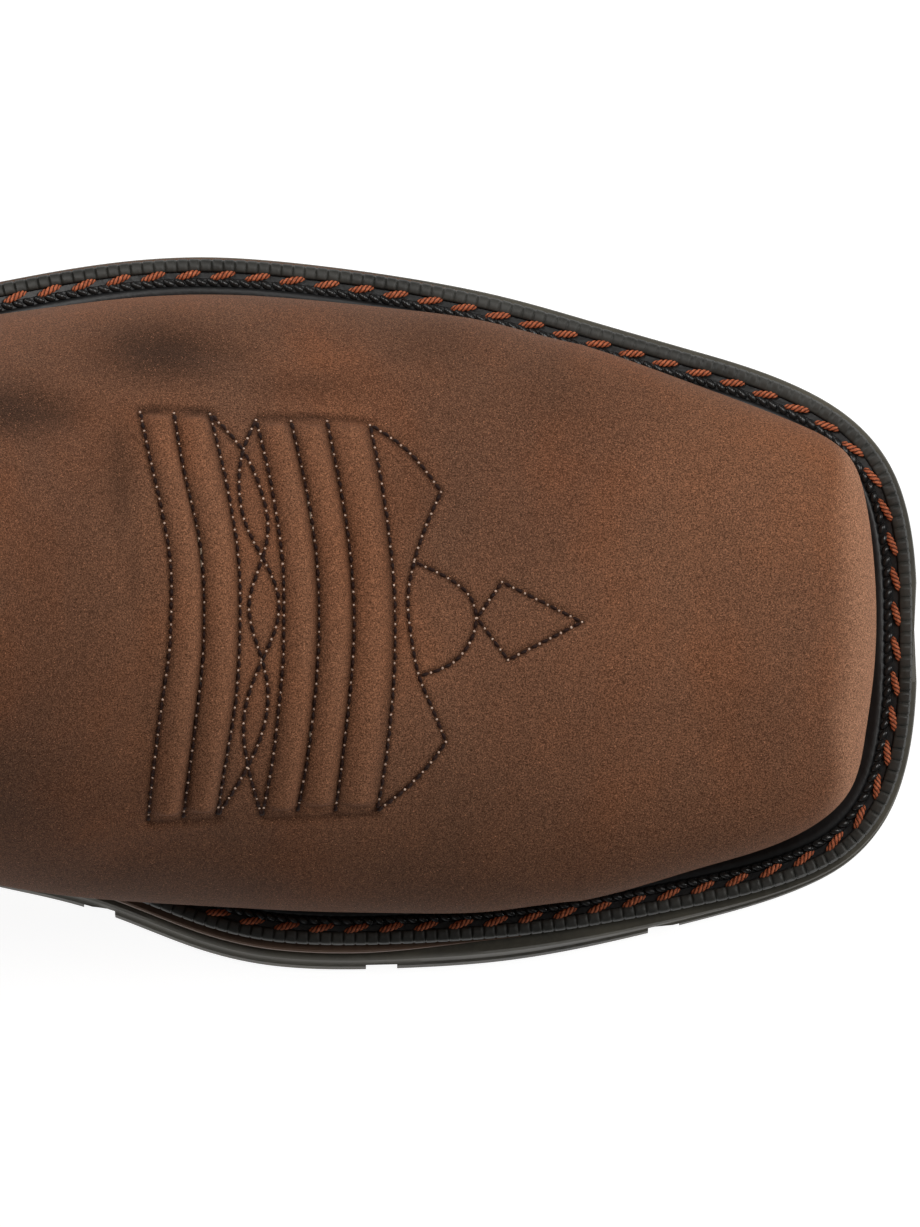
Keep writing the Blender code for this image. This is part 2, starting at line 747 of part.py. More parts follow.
def welt_edge():
    outline = sole_outline()
    return inset_curve(outline, flare_inset(outline, WELT_INSET, 1.0))


def make_welt():
    edge = welt_edge()
    start = HEEL_LENGTH
    return band("welt", edge, WELT_WIDTH, welt_bottom, welt_top, lambda x: x > start + GAP)


def make_heel_rand():
    edge = welt_edge()
    start = HEEL_LENGTH
    return band(
        "heel_rand", edge, WELT_WIDTH, welt_bottom, welt_top, lambda x: x < start - GAP
    )


def make_heel():
    outline = sole_outline()
    top = inset_curve(outline, np.full(len(outline), HEEL_TOP_INSET))
    low = inset_curve(outline, np.full(len(outline), HEEL_TAPER))
    level = HEEL_LIFT_THICKNESS + GAP
    heel = ladder(
        "heel",
        low,
        top,
        lambda x: level,
        lambda x: HEEL_RISE + LUG_DEPTH - GAP,
        end=HEEL_LENGTH - BREAST_SET_BACK,
        stations=20,
    )
    return heel


def make_heel_lift():
    outline = sole_outline()
    edge = inset_curve(outline, np.full(len(outline), HEEL_TAPER))
    lift = ladder(
        "heel_lift",
        edge,
        edge,
        lambda x: 0.0,
        lambda x: HEEL_LIFT_THICKNESS,
        end=HEEL_LENGTH - BREAST_SET_BACK,
        stations=18,
    )
    height = 0.010
    for k in range(HEEL_GROOVES):
        x = HEEL_LENGTH - (k + 1) * HEEL_GROOVE_PITCH
        centre = (x, 0.0, HEEL_GROOVE_DEPTH - 0.5 * height)
        size = (0.5 * GROOVE_WIDTH, BALL_WIDTH, height)
        cut(lift, bar_cutter(f"cut_lift_{k}", centre, size))
    return lift


def toe_params(rows):
    return -np.linspace(1.0, 0.0, rows, endpoint=False)


def column_params(columns=HALF_COLUMNS):
    return np.linspace(0.0, 1.0, columns + 1)


def make_upper(form):
    u_values = np.concatenate([toe_params(TOE_ROWS), form.body_params(last=UPPER_TO)])
    sheet = sheet_from_form(form, u_values, column_params())
    upper = finish_mesh("upper", thicken(sheet, -VAMP_THICKNESS, 0.0))
    line = side_line(VAMP_LINE)
    return cut(upper, side_prism("cut_vamp_line", line, level_beyond(line, CLEAR_ABOVE)))


def shaft_face():
    """Distance of the shaft's outer face inside the form."""
    return -(VAMP_THICKNESS + GAP)


def make_shaft(form):
    sheet = sheet_from_form(form, form.body_params(first=SHAFT_FROM), column_params())
    outer = shaft_face()
    shaft = finish_mesh("shaft", thicken(sheet, outer - SHAFT_THICKNESS, outer))
    lap = side_line(VAMP_LINE, lower=LAP)
    cut(shaft, side_prism("cut_lap_line", lap, level_beyond(lap, CLEAR_BELOW)))
    xs = np.linspace(-0.15, 0.60, 66) * SOLE_LENGTH
    line = [(x, float(collar_line(x))) for x in xs]
    return cut(shaft, side_prism("cut_collar", line, level_beyond(line, CLEAR_ABOVE)))


def make_counter(form):
    u_values = form.body_params(COUNTER_FROM, COUNTER_TO)
    sheet = sheet_from_form(form, u_values, column_params())
    counter = finish_mesh("counter", thicken(sheet, GAP, GAP + COUNTER_THICKNESS))
    line = side_line(COUNTER_LINE)
    seat = [(x, min(float(feather(x)) + COUNTER_LIFT, z - GAP)) for x, z in line[::-1]]
    return cut(counter, side_prism("keep_counter", line, seat), "INTERSECT")


def make_insole(form):
    """Plate on the welt, just inside the wall of the upper."""
    u_values = np.concatenate([toe_params(TOE_ROWS), form.body_params()])
    sides = []
    for side in (LATERAL, MEDIAL):
        points = np.array([form.half(side, u, [0.0])[0] for u in u_values])
        points = points[points[:, 2] < feather(points[:, 0]) + SEAT_GAP]
        sides.append(points[:, :2][::-1])
    loop = np.vstack([sides[LATERAL], sides[MEDIAL][::-1]])
    knots = chord_params(loop)
    at = np.linspace(0.0, knots[-1], 900)
    loop = np.stack([np.interp(at, knots, loop[:, k]) for k in (0, 1)], axis=1)
    inset = VAMP_THICKNESS + 3 * GAP
    edge = inset_curve(loop, np.full(len(loop), inset))
    edge = edge[(edge[:, 0] > loop[:, 0].min() + inset)]
    return ladder(
        "insole",
        edge,
        edge,
        feather,
        lambda x: feather(x) + INSOLE_THICKNESS,
        end=float(edge[:, 0].max()) - SEAT_GAP,
        stations=30,
    )


def collar_point(form, side, t, drop):
    """Section parameter at which a column of the form meets the collar, less a drop."""
    low, high = SHAFT_FROM, 1.0
    for _ in range(24):
        middle = 0.5 * (low + high)
        point = form.half(side, middle, [t])[0]
        if point[2] < collar_line(point[0]) - drop:
            low = middle
        else:
            high = middle
    return 0.5 * (low + high)


def form_frame(form, side, u, t):
    """Point and outward normal of the form."""
    step = 0.004
    here = form.half(side, u, [t])[0]
    t_low, t_high = max(t - step, 0.0), min(t + step, 1.0)
    across = form.half(side, u, [t_high])[0] - form.half(side, u, [t_low])[0]
    along = form.half(side, min(u + step, 1.0), [t])[0] - form.half(side, u - step, [t])[0]
    normal = np.cross(across, along)
    normal /= np.linalg.norm(normal)
    if normal[1] * SIDE_SIGN[side] < 0 and 0.02 < t < 0.98:
        normal = -normal
    if t <= 0.02 and normal[0] > 0:
        normal = -normal
    if t >= 0.98 and normal[0] < 0:
        normal = -normal
    return here, normal


def collar_ring(form, side, t, profile):
    """Stands a profile of (outward, upward) points on the collar, following the wall."""
    drops = sorted({max(-up, 0.0) for _, up in profile})
    params = {drop: collar_point(form, side, t, drop) for drop in drops}
    normal = form_frame(form, side, params[drops[0]], t)[1]
    flat = np.array([normal[0], normal[1], 0.0])
    flat /= np.linalg.norm(flat)
    ring = []
    for off, up in profile:
        here = form.half(side, params[max(-up, 0.0)], [t])[0]
        point = here + flat * off
        if up >= 0.0:
            point[2] = float(collar_line(point[0])) + up
        ring.append(point)
    return ring


def sweep_rings(name, rings, closed):
    """Solid through a list of rings of points."""
    solid = bmesh.new()
    made = [[solid.verts.new(point) for point in ring] for ring in rings]
    count = len(rings[0])
    pairs = list(zip(made, made[1:]))
    if closed:
        pairs.append((made[-1], made[0]))
    for one, two in pairs:
        for a in range(count):
            b = (a + 1) % count
            solid.faces.new([one[a], one[b], two[b], two[a]])
    if not closed:
        solid.faces.new(made[0])
        solid.faces.new(made[-1])
    return finish_mesh(name, solid)


def make_collar_binding(form):
    """Folded edge strip round the top of the shaft."""
    outer = shaft_face()
    inner = outer - SHAFT_THICKNESS
    thick = BINDING_THICKNESS
    profile = [
        (outer + GAP, -BINDING_DEPTH),
        (outer + GAP + thick, -BINDING_DEPTH),
        (outer + GAP + thick, SEAT_GAP),
        (outer - 0.2 * SHAFT_THICKNESS, SEAT_GAP + thick),
        (inner + 0.2 * SHAFT_THICKNESS, SEAT_GAP + thick),
        (inner - GAP - thick, SEAT_GAP),
        (inner - GAP - thick, -BINDING_DEPTH),
        (inner - GAP, -BINDING_DEPTH),
        (inner - GAP, SEAT_GAP),
        (outer + GAP, SEAT_GAP),
    ]
    rings = []
    columns = column_params()
    stations = [(LATERAL, t) for t in columns] + [(MEDIAL, t) for t in columns[-2:0:-1]]
    for side, t in stations:
        rings.append(collar_ring(form, side, t, profile))
    return sweep_rings("collar_binding", rings, closed=True)


def make_pull_strap(form, side, name):
    """Webbing loop sewn over the collar on one side."""
    outer = shaft_face()
    inner = outer - SHAFT_THICKNESS
    over = BINDING_THICKNESS + 2 * GAP
    middle = 0.5 * (outer + inner)
    half = 0.5 * (outer - inner) + over + GAP
    leg = [(outer + SEAT_GAP, -STRAP_LEG * share) for share in (1.0, 0.75, 0.5)]
    clear = outer + over + GAP
    leg.append((outer + SEAT_GAP, -BINDING_DEPTH - STRAP_EASE))
    leg += [(clear, -BINDING_DEPTH - SEAT_GAP), (clear, 0.5 * STRAP_EASE)]
    arc = []
    for angle in np.linspace(0.0, math.pi, 11):
        swell = half * math.cos(angle) * (1.0 + STRAP_SWELL * math.sin(angle))
        arc.append((middle + swell, STRAP_EASE + STRAP_LOOP * math.sin(angle)))
    back = [(2 * middle - off, up) for off, up in leg[::-1]]
    near = leg + arc + back
    far = []
    for k, (off, up) in enumerate(near):
        before = near[max(k - 1, 0)]
        after = near[min(k + 1, len(near) - 1)]
        run = (after[0] - before[0], after[1] - before[1])
        size = math.hypot(*run)
        away = (run[1] / size, -run[0] / size)
        far.append((off + away[0] * STRAP_THICKNESS, up + away[1] * STRAP_THICKNESS))
    profile = near + far[::-1]
    u_mid = collar_point(form, side, 0.5, 0.0)
    low = form.half(side, u_mid, [0.47])[0]
    high = form.half(side, u_mid, [0.53])[0]
    per_metre = 0.06 / np.linalg.norm(high - low)
    rings = []
    for shift in np.linspace(-0.5, 0.5, 6) * STRAP_WIDTH:
        rings.append(collar_ring(form, side, 0.5 + shift * per_metre, profile))
    return sweep_rings(name, rings, closed=False)


def make_side_seam(form, side, name):
    """Raised cover strip over the joint of the shaft's front and back halves."""
    def height(u):
        return form.half(side, u, [0.5])[0][2]

    def param_for(level):
        low, high = SHAFT_FROM, 1.0
        for _ in range(40):
            middle = 0.5 * (low + high)
            if height(middle) < level:
                low = middle
            else:
                high = middle
        return 0.5 * (low + high)

    first = param_for(0.97 * INSTEP_HEIGHT)
    last = param_for(COLLAR_HEIGHT - STRAP_LEG - 2 * SEAT_GAP)
    u_values = np.linspace(first, last, 14)
    a = form.half(side, last, [0.45])[0]
    b = form.half(side, last, [0.55])[0]
    half = 0.5 * SEAM_WIDTH * 0.1 / np.linalg.norm(b - a)
    sheet = sheet_from_form(form, u_values, np.linspace(0.5 - half, 0.5 + half, 3), (side,))
    face = shaft_face() + SEAT_GAP
    return finish_mesh(name, thicken(sheet, face, face + SEAM_THICKNESS))


def paint(item, colour, roughness):
    finish = bpy.data.materials.new(item.name)
    finish.use_nodes = True
    shader = finish.node_tree.nodes["Principled BSDF"]
    shader.inputs["Base Color"].default_value = (*colour, 1.0)
    shader.inputs["Roughness"].default_value = roughness
    shader.inputs["Metallic"].default_value = 0.0
    item.data.materials.append(finish)


def stand_on_origin(items):
    """Hangs every piece on one empty, so that the boot stands centred on the origin."""
    bpy.context.view_layer.update()
    graph = bpy.context.evaluated_depsgraph_get()
    low = np.full(3, np.inf)
    high = np.full(3, -np.inf)
    for item in items:
        shape = item.evaluated_get(graph).to_mesh()
        points = np.array([item.matrix_world @ vert.co for vert in shape.vertices])
        low = np.minimum(low, points.min(axis=0))
        high = np.maximum(high, points.max(axis=0))
    anchor = bpy.data.objects.new("boot", None)
    bpy.context.scene.collection.objects.link(anchor)
    for item in bpy.data.objects:
        if item is not anchor:
            item.parent = anchor
    anchor.location = (-0.5 * (low[0] + high[0]), -0.5 * (low[1] + high[1]), -low[2])


def build():
    clear_scene()
    form = UpperForm()
    leather = (0.155, 0.082, 0.050)
    rubber = (0.022, 0.022, 0.020)
    finishes = [
        (make_outsole(), rubber, 0.65),
        (make_midsole(), (0.085, 0.048, 0.030), 0.60),
        (make_welt(), rubber, 0.45),
        (make_heel_rand(), rubber, 0.45),
        (make_heel(), rubber, 0.60),
        (make_heel_lift(), rubber, 0.70),
        (make_upper(form), leather, 0.70),
        (make_shaft(form), (0.120, 0.065, 0.040), 0.70),
        (make_counter(form), leather, 0.68),
        (make_insole(form), (0.20, 0.17, 0.13), 0.90),
        (make_collar_binding(form), (0.050, 0.028, 0.018), 0.55),
        (make_pull_strap(form, LATERAL, "pull_strap_lateral"), (0.03, 0.02, 0.015), 0.80),
        (make_pull_strap(form, MEDIAL, "pull_strap_medial"), (0.03, 0.02, 0.015), 0.80),
        (make_side_seam(form, LATERAL, "side_seam_lateral"), (0.07, 0.038, 0.024), 0.6),
        (make_side_seam(form, MEDIAL, "side_seam_medial"), (0.07, 0.038, 0.024), 0.6),
    ]
    for item, colour, roughness in finishes:
        paint(item, colour, roughness)
    stand_on_origin([item for item, _, _ in finishes])


build()
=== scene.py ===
# Looks of the western work boot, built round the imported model.
# Units are metres. Pieces are worked out in the last's own frame (x from the heel's
# back, y to the outer side, z from the floor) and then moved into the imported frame.

import math
from collections import namedtuple

import bmesh
import bpy
import numpy as np
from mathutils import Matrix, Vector
from mathutils.bvhtree import BVHTree
from mathutils.kdtree import KDTree


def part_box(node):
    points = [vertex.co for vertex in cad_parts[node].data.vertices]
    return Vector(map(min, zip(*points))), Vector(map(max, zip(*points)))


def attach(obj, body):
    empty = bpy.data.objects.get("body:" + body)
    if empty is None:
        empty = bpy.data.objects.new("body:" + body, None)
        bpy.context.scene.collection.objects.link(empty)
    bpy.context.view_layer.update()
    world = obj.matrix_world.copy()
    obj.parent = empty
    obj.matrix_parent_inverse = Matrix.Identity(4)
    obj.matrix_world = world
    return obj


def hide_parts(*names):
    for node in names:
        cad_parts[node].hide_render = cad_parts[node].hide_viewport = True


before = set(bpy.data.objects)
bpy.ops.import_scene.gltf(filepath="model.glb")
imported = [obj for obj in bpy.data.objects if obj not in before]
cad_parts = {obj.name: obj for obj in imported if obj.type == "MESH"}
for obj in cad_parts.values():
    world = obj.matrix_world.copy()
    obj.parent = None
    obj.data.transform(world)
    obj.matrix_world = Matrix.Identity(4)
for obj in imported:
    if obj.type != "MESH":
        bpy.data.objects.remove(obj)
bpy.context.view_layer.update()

# Sizes of the boot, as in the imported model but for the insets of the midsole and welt
SOLE_LENGTH = 0.306
BALL_WIDTH = 0.118
UPPER_WIDTH = 0.102
INSTEP_HEIGHT = 0.110
HEEL_CUP_HEIGHT = 0.066
COLLAR_HEIGHT = 0.300
SHAFT_TOP_LENGTH = 0.144
SHAFT_TOP_WIDTH = 0.110
ANKLE_WIDTH = 0.082
LUG_DEPTH = 0.0040
OUTSOLE_BODY = 0.0050
MIDSOLE_THICKNESS = 0.0040
WELT_THICKNESS = 0.0030
WELT_WIDTH = 0.0135
HEEL_RISE = 0.0230
HEEL_LIFT_THICKNESS = 0.0070
HEEL_LENGTH = 0.079
TOE_SPRING = 0.0110
FLAT_FROM = 0.185
FLAT_TO = 0.215
LUGS_FROM = 0.133
LUGS_TO = 0.285
WRAP_FROM = 0.212
WRAP_TO = 0.245
OUTSOLE_TOP_INSET = 0.0007
MIDSOLE_INSET = 0.0007
WELT_INSET = 0.0011
HEEL_TOP_INSET = 0.0012
HEEL_TAPER = 0.0022
BREAST_SET_BACK = 0.0010
MEDIAL_FLARE = 0.0026
BALL_OUT = 0.0009
BALL_SPAN = (0.105, 0.060, 0.232, 0.040)
WAIST_IN = 0.0019
WAIST_SPAN = (0.100, 0.050, 0.158, 0.042)
GROOVE_WIDTH = 0.0052
LATERAL_GROOVE_AT = 0.161
LATERAL_PITCH = 0.039
MEDIAL_GROOVE_AT = 0.170
MEDIAL_PITCH = 0.0470
CENTRE_GROOVE_AT = 0.150
CENTRE_PITCH = 0.0195
CENTRE_HALF_WIDTH = 0.024
EDGE_GROOVE_INNER = 0.030
HEEL_GROOVE_DEPTH = 0.0025
HEEL_GROOVE_PITCH = 0.0170
HEEL_GROOVES = 3
VAMP_THICKNESS = 0.0018
SHAFT_THICKNESS = 0.0022
COUNTER_THICKNESS = 0.0016
COUNTER_LIFT = 0.0016
INSOLE_THICKNESS = 0.0040
LAP = 0.012
GAP = 0.0003
SEAT_GAP = 0.0006
TOE_TUCK_IN = 0.0015
COLLAR_DIP_FRONT = 0.024
COLLAR_DIP_BACK = 0.016
BINDING_DEPTH = 0.0065
BINDING_THICKNESS = 0.0011
STRAP_WIDTH = 0.030
STRAP_THICKNESS = 0.0020
STRAP_LEG = 0.044
STRAP_LOOP = 0.016
STRAP_EASE = 0.0040
STRAP_SWELL = 1.6
STRAP_BOX = [(-0.40, -0.96), (0.40, -0.96), (0.40, -0.60), (-0.40, -0.60), (-0.40, -0.96),
             (0.40, -0.60), (0.40, -0.96), (-0.40, -0.60)]
SEAM_WIDTH = 0.0060
SEAM_THICKNESS = 0.0014
FAN_ROW = 2
FAN_CENTRE = 0.902
SLOPE_STEP = 0.0020
END_MARGIN = 0.00012
SHAFT_FROM = 0.28
LATERAL, MEDIAL = 0, 1
SIDE_SIGN = (1.0, -1.0)

# How finely lines are read, and the angles in degrees above which an edge stays sharp
PLAN_SAMPLES = 3000
LINE_SAMPLES = 400
WELD_SIZE = 2e-6
SOLE_SHARP = 40.0
TRIM_SHARP = 45.0
SHEET_SHARP = 50.0
WELT_SHARP = 55.0

# How the photo's pixels lie on the boot
IMAGE_WIDTH, IMAGE_HEIGHT = 920, 1227
PX_PER_METRE = 6020.0
TOE_PX = 917.0
MIDDLE_PX = 613.0
PHOTO_LEVEL = 0.015
CAMERA_DISTANCE = 2.5
CAMERA_TILT = math.radians(3.0)

PlanRow = namedtuple("PlanRow", "along lateral medial")
SOLE_PLAN = [
    PlanRow(0.007, 0.119, 0.119),
    PlanRow(0.020, 0.195, 0.195),
    PlanRow(0.046, 0.263, 0.263),
    PlanRow(0.082, 0.309, 0.305),
    PlanRow(0.131, 0.335, 0.326),
    PlanRow(0.180, 0.345, 0.331),
    PlanRow(0.245, 0.349, 0.324),
    PlanRow(0.310, 0.362, 0.315),
    PlanRow(0.376, 0.390, 0.325),
    PlanRow(0.441, 0.431, 0.360),
    PlanRow(0.502, 0.464, 0.400),
    PlanRow(0.556, 0.490, 0.431),
    PlanRow(0.611, 0.501, 0.475),
    PlanRow(0.665, 0.492, 0.497),
    PlanRow(0.719, 0.473, 0.497),
    PlanRow(0.775, 0.443, 0.487),
    PlanRow(0.827, 0.408, 0.464),
    PlanRow(0.882, 0.369, 0.430),
    PlanRow(0.937, 0.317, 0.386),
    PlanRow(0.964, 0.273, 0.347),
    PlanRow(0.985, 0.208, 0.281),
    PlanRow(0.996, 0.125, 0.194),
]
SOLE_TOE = PlanRow(1.0, -0.034, 0.034)
SOLE_BACK = PlanRow(0.0, 0.0, 0.0)
UPPER_PLAN = [
    PlanRow(0.026, 0.352, 0.350),
    PlanRow(0.065, 0.350, 0.347),
    PlanRow(0.131, 0.347, 0.340),
    PlanRow(0.212, 0.352, 0.340),
    PlanRow(0.294, 0.375, 0.352),
    PlanRow(0.376, 0.412, 0.380),
    PlanRow(0.441, 0.444, 0.421),
    PlanRow(0.502, 0.471, 0.457),
    PlanRow(0.556, 0.494, 0.474),
    PlanRow(0.611, 0.505, 0.483),
    PlanRow(0.665, 0.498, 0.491),
    PlanRow(0.719, 0.483, 0.494),
    PlanRow(0.775, 0.458, 0.490),
    PlanRow(0.827, 0.416, 0.468),
    PlanRow(0.882, 0.356, 0.421),
    PlanRow(0.935, 0.294, 0.366),
    PlanRow(0.962, 0.240, 0.296),
    PlanRow(0.970, 0.176, 0.208),
    PlanRow(0.9745, 0.080, 0.110),
]
UPPER_TOE = PlanRow(0.976, -0.014, 0.014)

SectionRow = namedtuple("SectionRow", "foot seat front ridge feather belly tuck arch")
FOOT_SECTIONS = [
    SectionRow(0.977, 0.00, 0.977, 0.475, 0.960, 0.36, 0.96, 2.70),
    SectionRow(0.902, 0.00, 0.902, 0.512, 0.958, 0.34, 0.96, 2.55),
    SectionRow(0.817, 0.00, 0.817, 0.560, 0.955, 0.31, 0.97, 2.35),
    SectionRow(0.768, 0.00, 0.768, 0.596, 0.955, 0.29, 0.98, 2.25),
    SectionRow(0.719, 0.00, 0.720, 0.640, 0.952, 0.28, 1.00, 2.15),
    SectionRow(0.670, 0.00, 0.676, 0.690, 0.950, 0.27, 1.00, 2.08),
    SectionRow(0.621, 0.00, 0.633, 0.745, 0.945, 0.26, 1.00, 2.02),
    SectionRow(0.572, 0.00, 0.594, 0.803, 0.940, 0.26, 1.00, 1.98),
    SectionRow(0.520, 0.00, 0.556, 0.865, 0.930, 0.27, 1.00, 1.95),
    SectionRow(0.458, 0.00, 0.520, 0.943, 0.920, 0.28, 1.00, 1.92),
    SectionRow(0.376, 0.00, 0.488, 1.034, 0.915, 0.30, 1.00, 1.90),
    SectionRow(0.294, 0.00, 0.466, 1.122, 0.920, 0.33, 1.00, 1.90),
    SectionRow(0.212, 0.00, 0.452, 1.208, 0.925, 0.36, 0.98, 1.92),
    SectionRow(0.131, 0.00, 0.444, 1.292, 0.900, 0.40, 0.94, 1.95),
    SectionRow(0.065, 0.00, 0.440, 1.366, 0.700, 0.46, 0.90, 1.98),
    SectionRow(0.036, 0.00, 0.438, 1.405, 0.420, 0.48, 0.86, 2.00),
    SectionRow(0.024, 0.00, 0.437, 1.440, 0.000, 0.48, 0.80, 2.00),
    SectionRow(0.014, 0.24, 0.437, 1.520, 0.000, 0.49, 0.80, 2.00),
    SectionRow(0.012, 0.44, 0.438, 1.605, 0.000, 0.49, 0.82, 2.02),
    SectionRow(0.020, 0.70, 0.439, 1.710, 0.000, 0.49, 0.86, 2.05),
    SectionRow(0.032, 1.00, 0.441, 1.830, 0.000, 0.49, 0.90, 2.08),
]
FAN_FROM = FOOT_SECTIONS[FAN_ROW].foot
ShaftRow = namedtuple("ShaftRow", "back rise front climb spread")
SHAFT_SECTIONS = [
    ShaftRow(0.036, 0.14, 0.445, 0.15, 0.10),
    ShaftRow(0.030, 0.34, 0.451, 0.36, 0.36),
    ShaftRow(0.016, 0.57, 0.457, 0.60, 0.68),
    ShaftRow(0.002, 0.80, 0.462, 0.82, 0.90),
    ShaftRow(-0.006, 1.00, 0.465, 1.00, 1.00),
    ShaftRow(-0.008, 1.06, 0.466, 1.06, 1.02),
]
TOP_SECTION = next(row for row in SHAFT_SECTIONS if row.rise == 1.0)
LineRow = namedtuple("LineRow", "along up")
VAMP_LINE = [
    LineRow(-0.10, 0.930),
    LineRow(0.02, 0.925),
    LineRow(0.12, 0.870),
    LineRow(0.22, 0.800),
    LineRow(0.29, 0.790),
    LineRow(0.36, 0.860),
    LineRow(0.41, 1.000),
    LineRow(0.44, 1.200),
    LineRow(0.47, 1.340),
    LineRow(0.54, 1.420),
]
COUNTER_LINE = [
    LineRow(-0.10, 0.850),
    LineRow(0.02, 0.850),
    LineRow(0.12, 0.800),
    LineRow(0.20, 0.735),
    LineRow(0.25, 0.690),
    LineRow(0.285, 0.600),
    LineRow(0.325, 0.440),
    LineRow(0.352, 0.320),
]

# Stitched rows across the vamp, from the ankle side to the toe side, charted as photo pixels
STITCH_ROWS = [
    [(140, 412), (152, 466), (165, 526), (171, 569), (171, 618), (170, 645), (164, 690),
     (157, 742), (152, 783), (148, 822)],
    [(174, 413), (186, 480), (198, 532), (203, 573), (204, 614), (203, 655), (198, 704),
     (191, 759), (183, 819)],
    [(210, 414), (222, 463), (234, 525), (239, 566), (240, 607), (239, 655), (236, 697),
     (227, 755), (217, 816)],
    [(256, 420), (269, 473), (277, 518), (283, 566), (284, 614), (283, 662), (279, 707),
     (274, 752), (262, 817)],
    [(291, 421), (303, 473), (313, 528), (318, 576), (319, 621), (317, 673), (312, 724),
     (305, 773), (297, 813)],
    [(327, 421), (339, 480), (348, 535), (353, 587), (354, 628), (351, 683), (345, 738),
     (340, 779), (335, 813)],
    [(370, 425), (381, 480), (389, 535), (394, 587), (395, 628), (394, 676), (390, 724),
     (385, 766), (377, 810)],
]
CORDED_AFTER_ROW = (0, 1, 3, 4, 5)
BRAIDS = [
    [(210, 414), (243, 451), (262, 494), (268, 525), (262, 559), (249, 607), (262, 660),
     (268, 697), (248, 766), (217, 816)],
    [(256, 420), (243, 451), (239, 480), (246, 525), (262, 557), (279, 604), (262, 661),
     (244, 717), (248, 766), (262, 817)],
]
BOW = [
    [(370, 425), (398, 443), (420, 464), (441, 492)],
    [(441, 492), (426, 526), (414, 562), (408, 600), (412, 642), (419, 676), (432, 708),
     (446, 742)],
    [(446, 742), (432, 761), (417, 778), (397, 796), (375, 812)],
    [(414, 562), (451, 580), (470, 597), (476, 618), (470, 642), (455, 661), (419, 676)],
]
KITE = [(477, 618), (502, 582), (582, 622), (508, 660), (477, 618)]

# Where the leather dips at the ends of the cords
CORD_ENDS = [
    [(140, 411), (176, 408), (212, 411)],
    [(258, 416), (314, 416), (372, 421)],
    [(148, 824), (184, 822), (220, 820)],
    [(264, 820), (318, 818), (378, 815)],
]

# Soft creases, and dark patches on the vamp that are partly the leather's mottling and partly
# painted shade: photo pixels, with sizes in pixels too
Crease = namedtuple("Crease", "points width depth")
CREASES = [
    Crease([(120, 415), (132, 480), (143, 560), (146, 640), (142, 720), (130, 800)], 12.0, 0.0010),
    Crease([(0, 395), (40, 405), (80, 425), (110, 470)], 16.0, 0.0005),
    Crease([(60, 880), (150, 850), (240, 846), (330, 852)], 16.0, 0.0004),
    Crease([(110, 348), (160, 344), (215, 352), (280, 372)], 14.0, 0.0004),
    Crease([(400, 380), (440, 400), (470, 440)], 18.0, 0.0003),
]
ShadeAndMottle = namedtuple("ShadeAndMottle", "px py wide tall dark")
SHADE_AND_MOTTLE_PATCHES = [
    ShadeAndMottle(162, 350, 84, 38, 1.00),
    ShadeAndMottle(300, 385, 80, 18, 0.45),
    ShadeAndMottle(10, 410, 80, 30, 0.95),
    ShadeAndMottle(60, 640, 110, 200, 0.35),
    ShadeAndMottle(170, 850, 110, 26, 0.50),
    ShadeAndMottle(480, 845, 70, 26, 0.45),
    ShadeAndMottle(440, 340, 50, 30, 0.35),
    ShadeAndMottle(560, 400, 60, 50, 0.25),
    ShadeAndMottle(740, 720, 90, 60, 0.20),
    ShadeAndMottle(100, 480, 50, 60, 0.35),
    ShadeAndMottle(250, 960, 900, 150, 0.80),
    ShadeAndMottle(-20, 820, 260, 150, 0.45),
    ShadeAndMottle(120, 470, 22, 80, 0.60),
    ShadeAndMottle(134, 580, 16, 90, 0.35),
    ShadeAndMottle(152, 409, 20, 7, 0.70),
    ShadeAndMottle(196, 412, 22, 7, 0.70),
    ShadeAndMottle(300, 419, 60, 5, 0.45),
    ShadeAndMottle(820, 350, 40, 16, 0.30),
    ShadeAndMottle(400, 470, 60, 90, 0.20),
    ShadeAndMottle(300, 312, 330, 34, 0.16),
    ShadeAndMottle(650, 400, 120, 50, 0.18),
    ShadeAndMottle(60, 700, 120, 120, 0.16),
]

# Threads
VAMP_STITCH_PITCH = 0.0021
VAMP_THREAD_RADIUS = 0.00031
WELT_STITCH_PITCH = 0.00575
WELT_STITCH_LENGTH = 0.0043
WELT_THREAD_RADIUS = 0.00055
WELT_STITCH_LEAN = math.radians(16.0)
WELT_STITCH_SINK = 0.00075
TWIST_TURNS = 1.7
STRAND_DEPTH = 0.16
SEAM_STITCH_PITCH = 0.0030
EDGE_STITCH_PITCH = 0.0028
SEAM_THREAD_RADIUS = 0.00030
EDGE_ROWS = (0.0022, 0.0042)
STITCH_STEPS = 8
STITCH_GAP = 0.18
STITCH_LIFT = 0.35
BEAD_PITCH = 0.0018
BEAD_SIZE = (0.52 * BEAD_PITCH, 0.00068, 0.00062)
BEAD_SINK = 0.00012
BEAD_LEAN = 0.35
RIB_PITCH = 0.00195
RIDGE_HEIGHT = 0.0019
FLANK_SHADE = 0.50
ROW_GROOVE = 0.00040
END_DIP = 0.00030

# Zones of the welt, measured inwards from its outer edge
RIB_TO = 0.00210
CHANNEL_TO = 0.00335
BEAD_LINE = 0.00392
LIP_FROM = 0.0046
LIP_TO = 0.0060
CHANNEL_SIDES = (5, 14)


def smoothstep(t):
    t = np.clip(t, 0.0, 1.0)
    return t * t * (3.0 - 2.0 * t)


def hump(x, rises_at, rises_over, falls_at, falls_over):
    return smoothstep((x - rises_at) / rises_over) * (1.0 - smoothstep((x - falls_at) / falls_over))


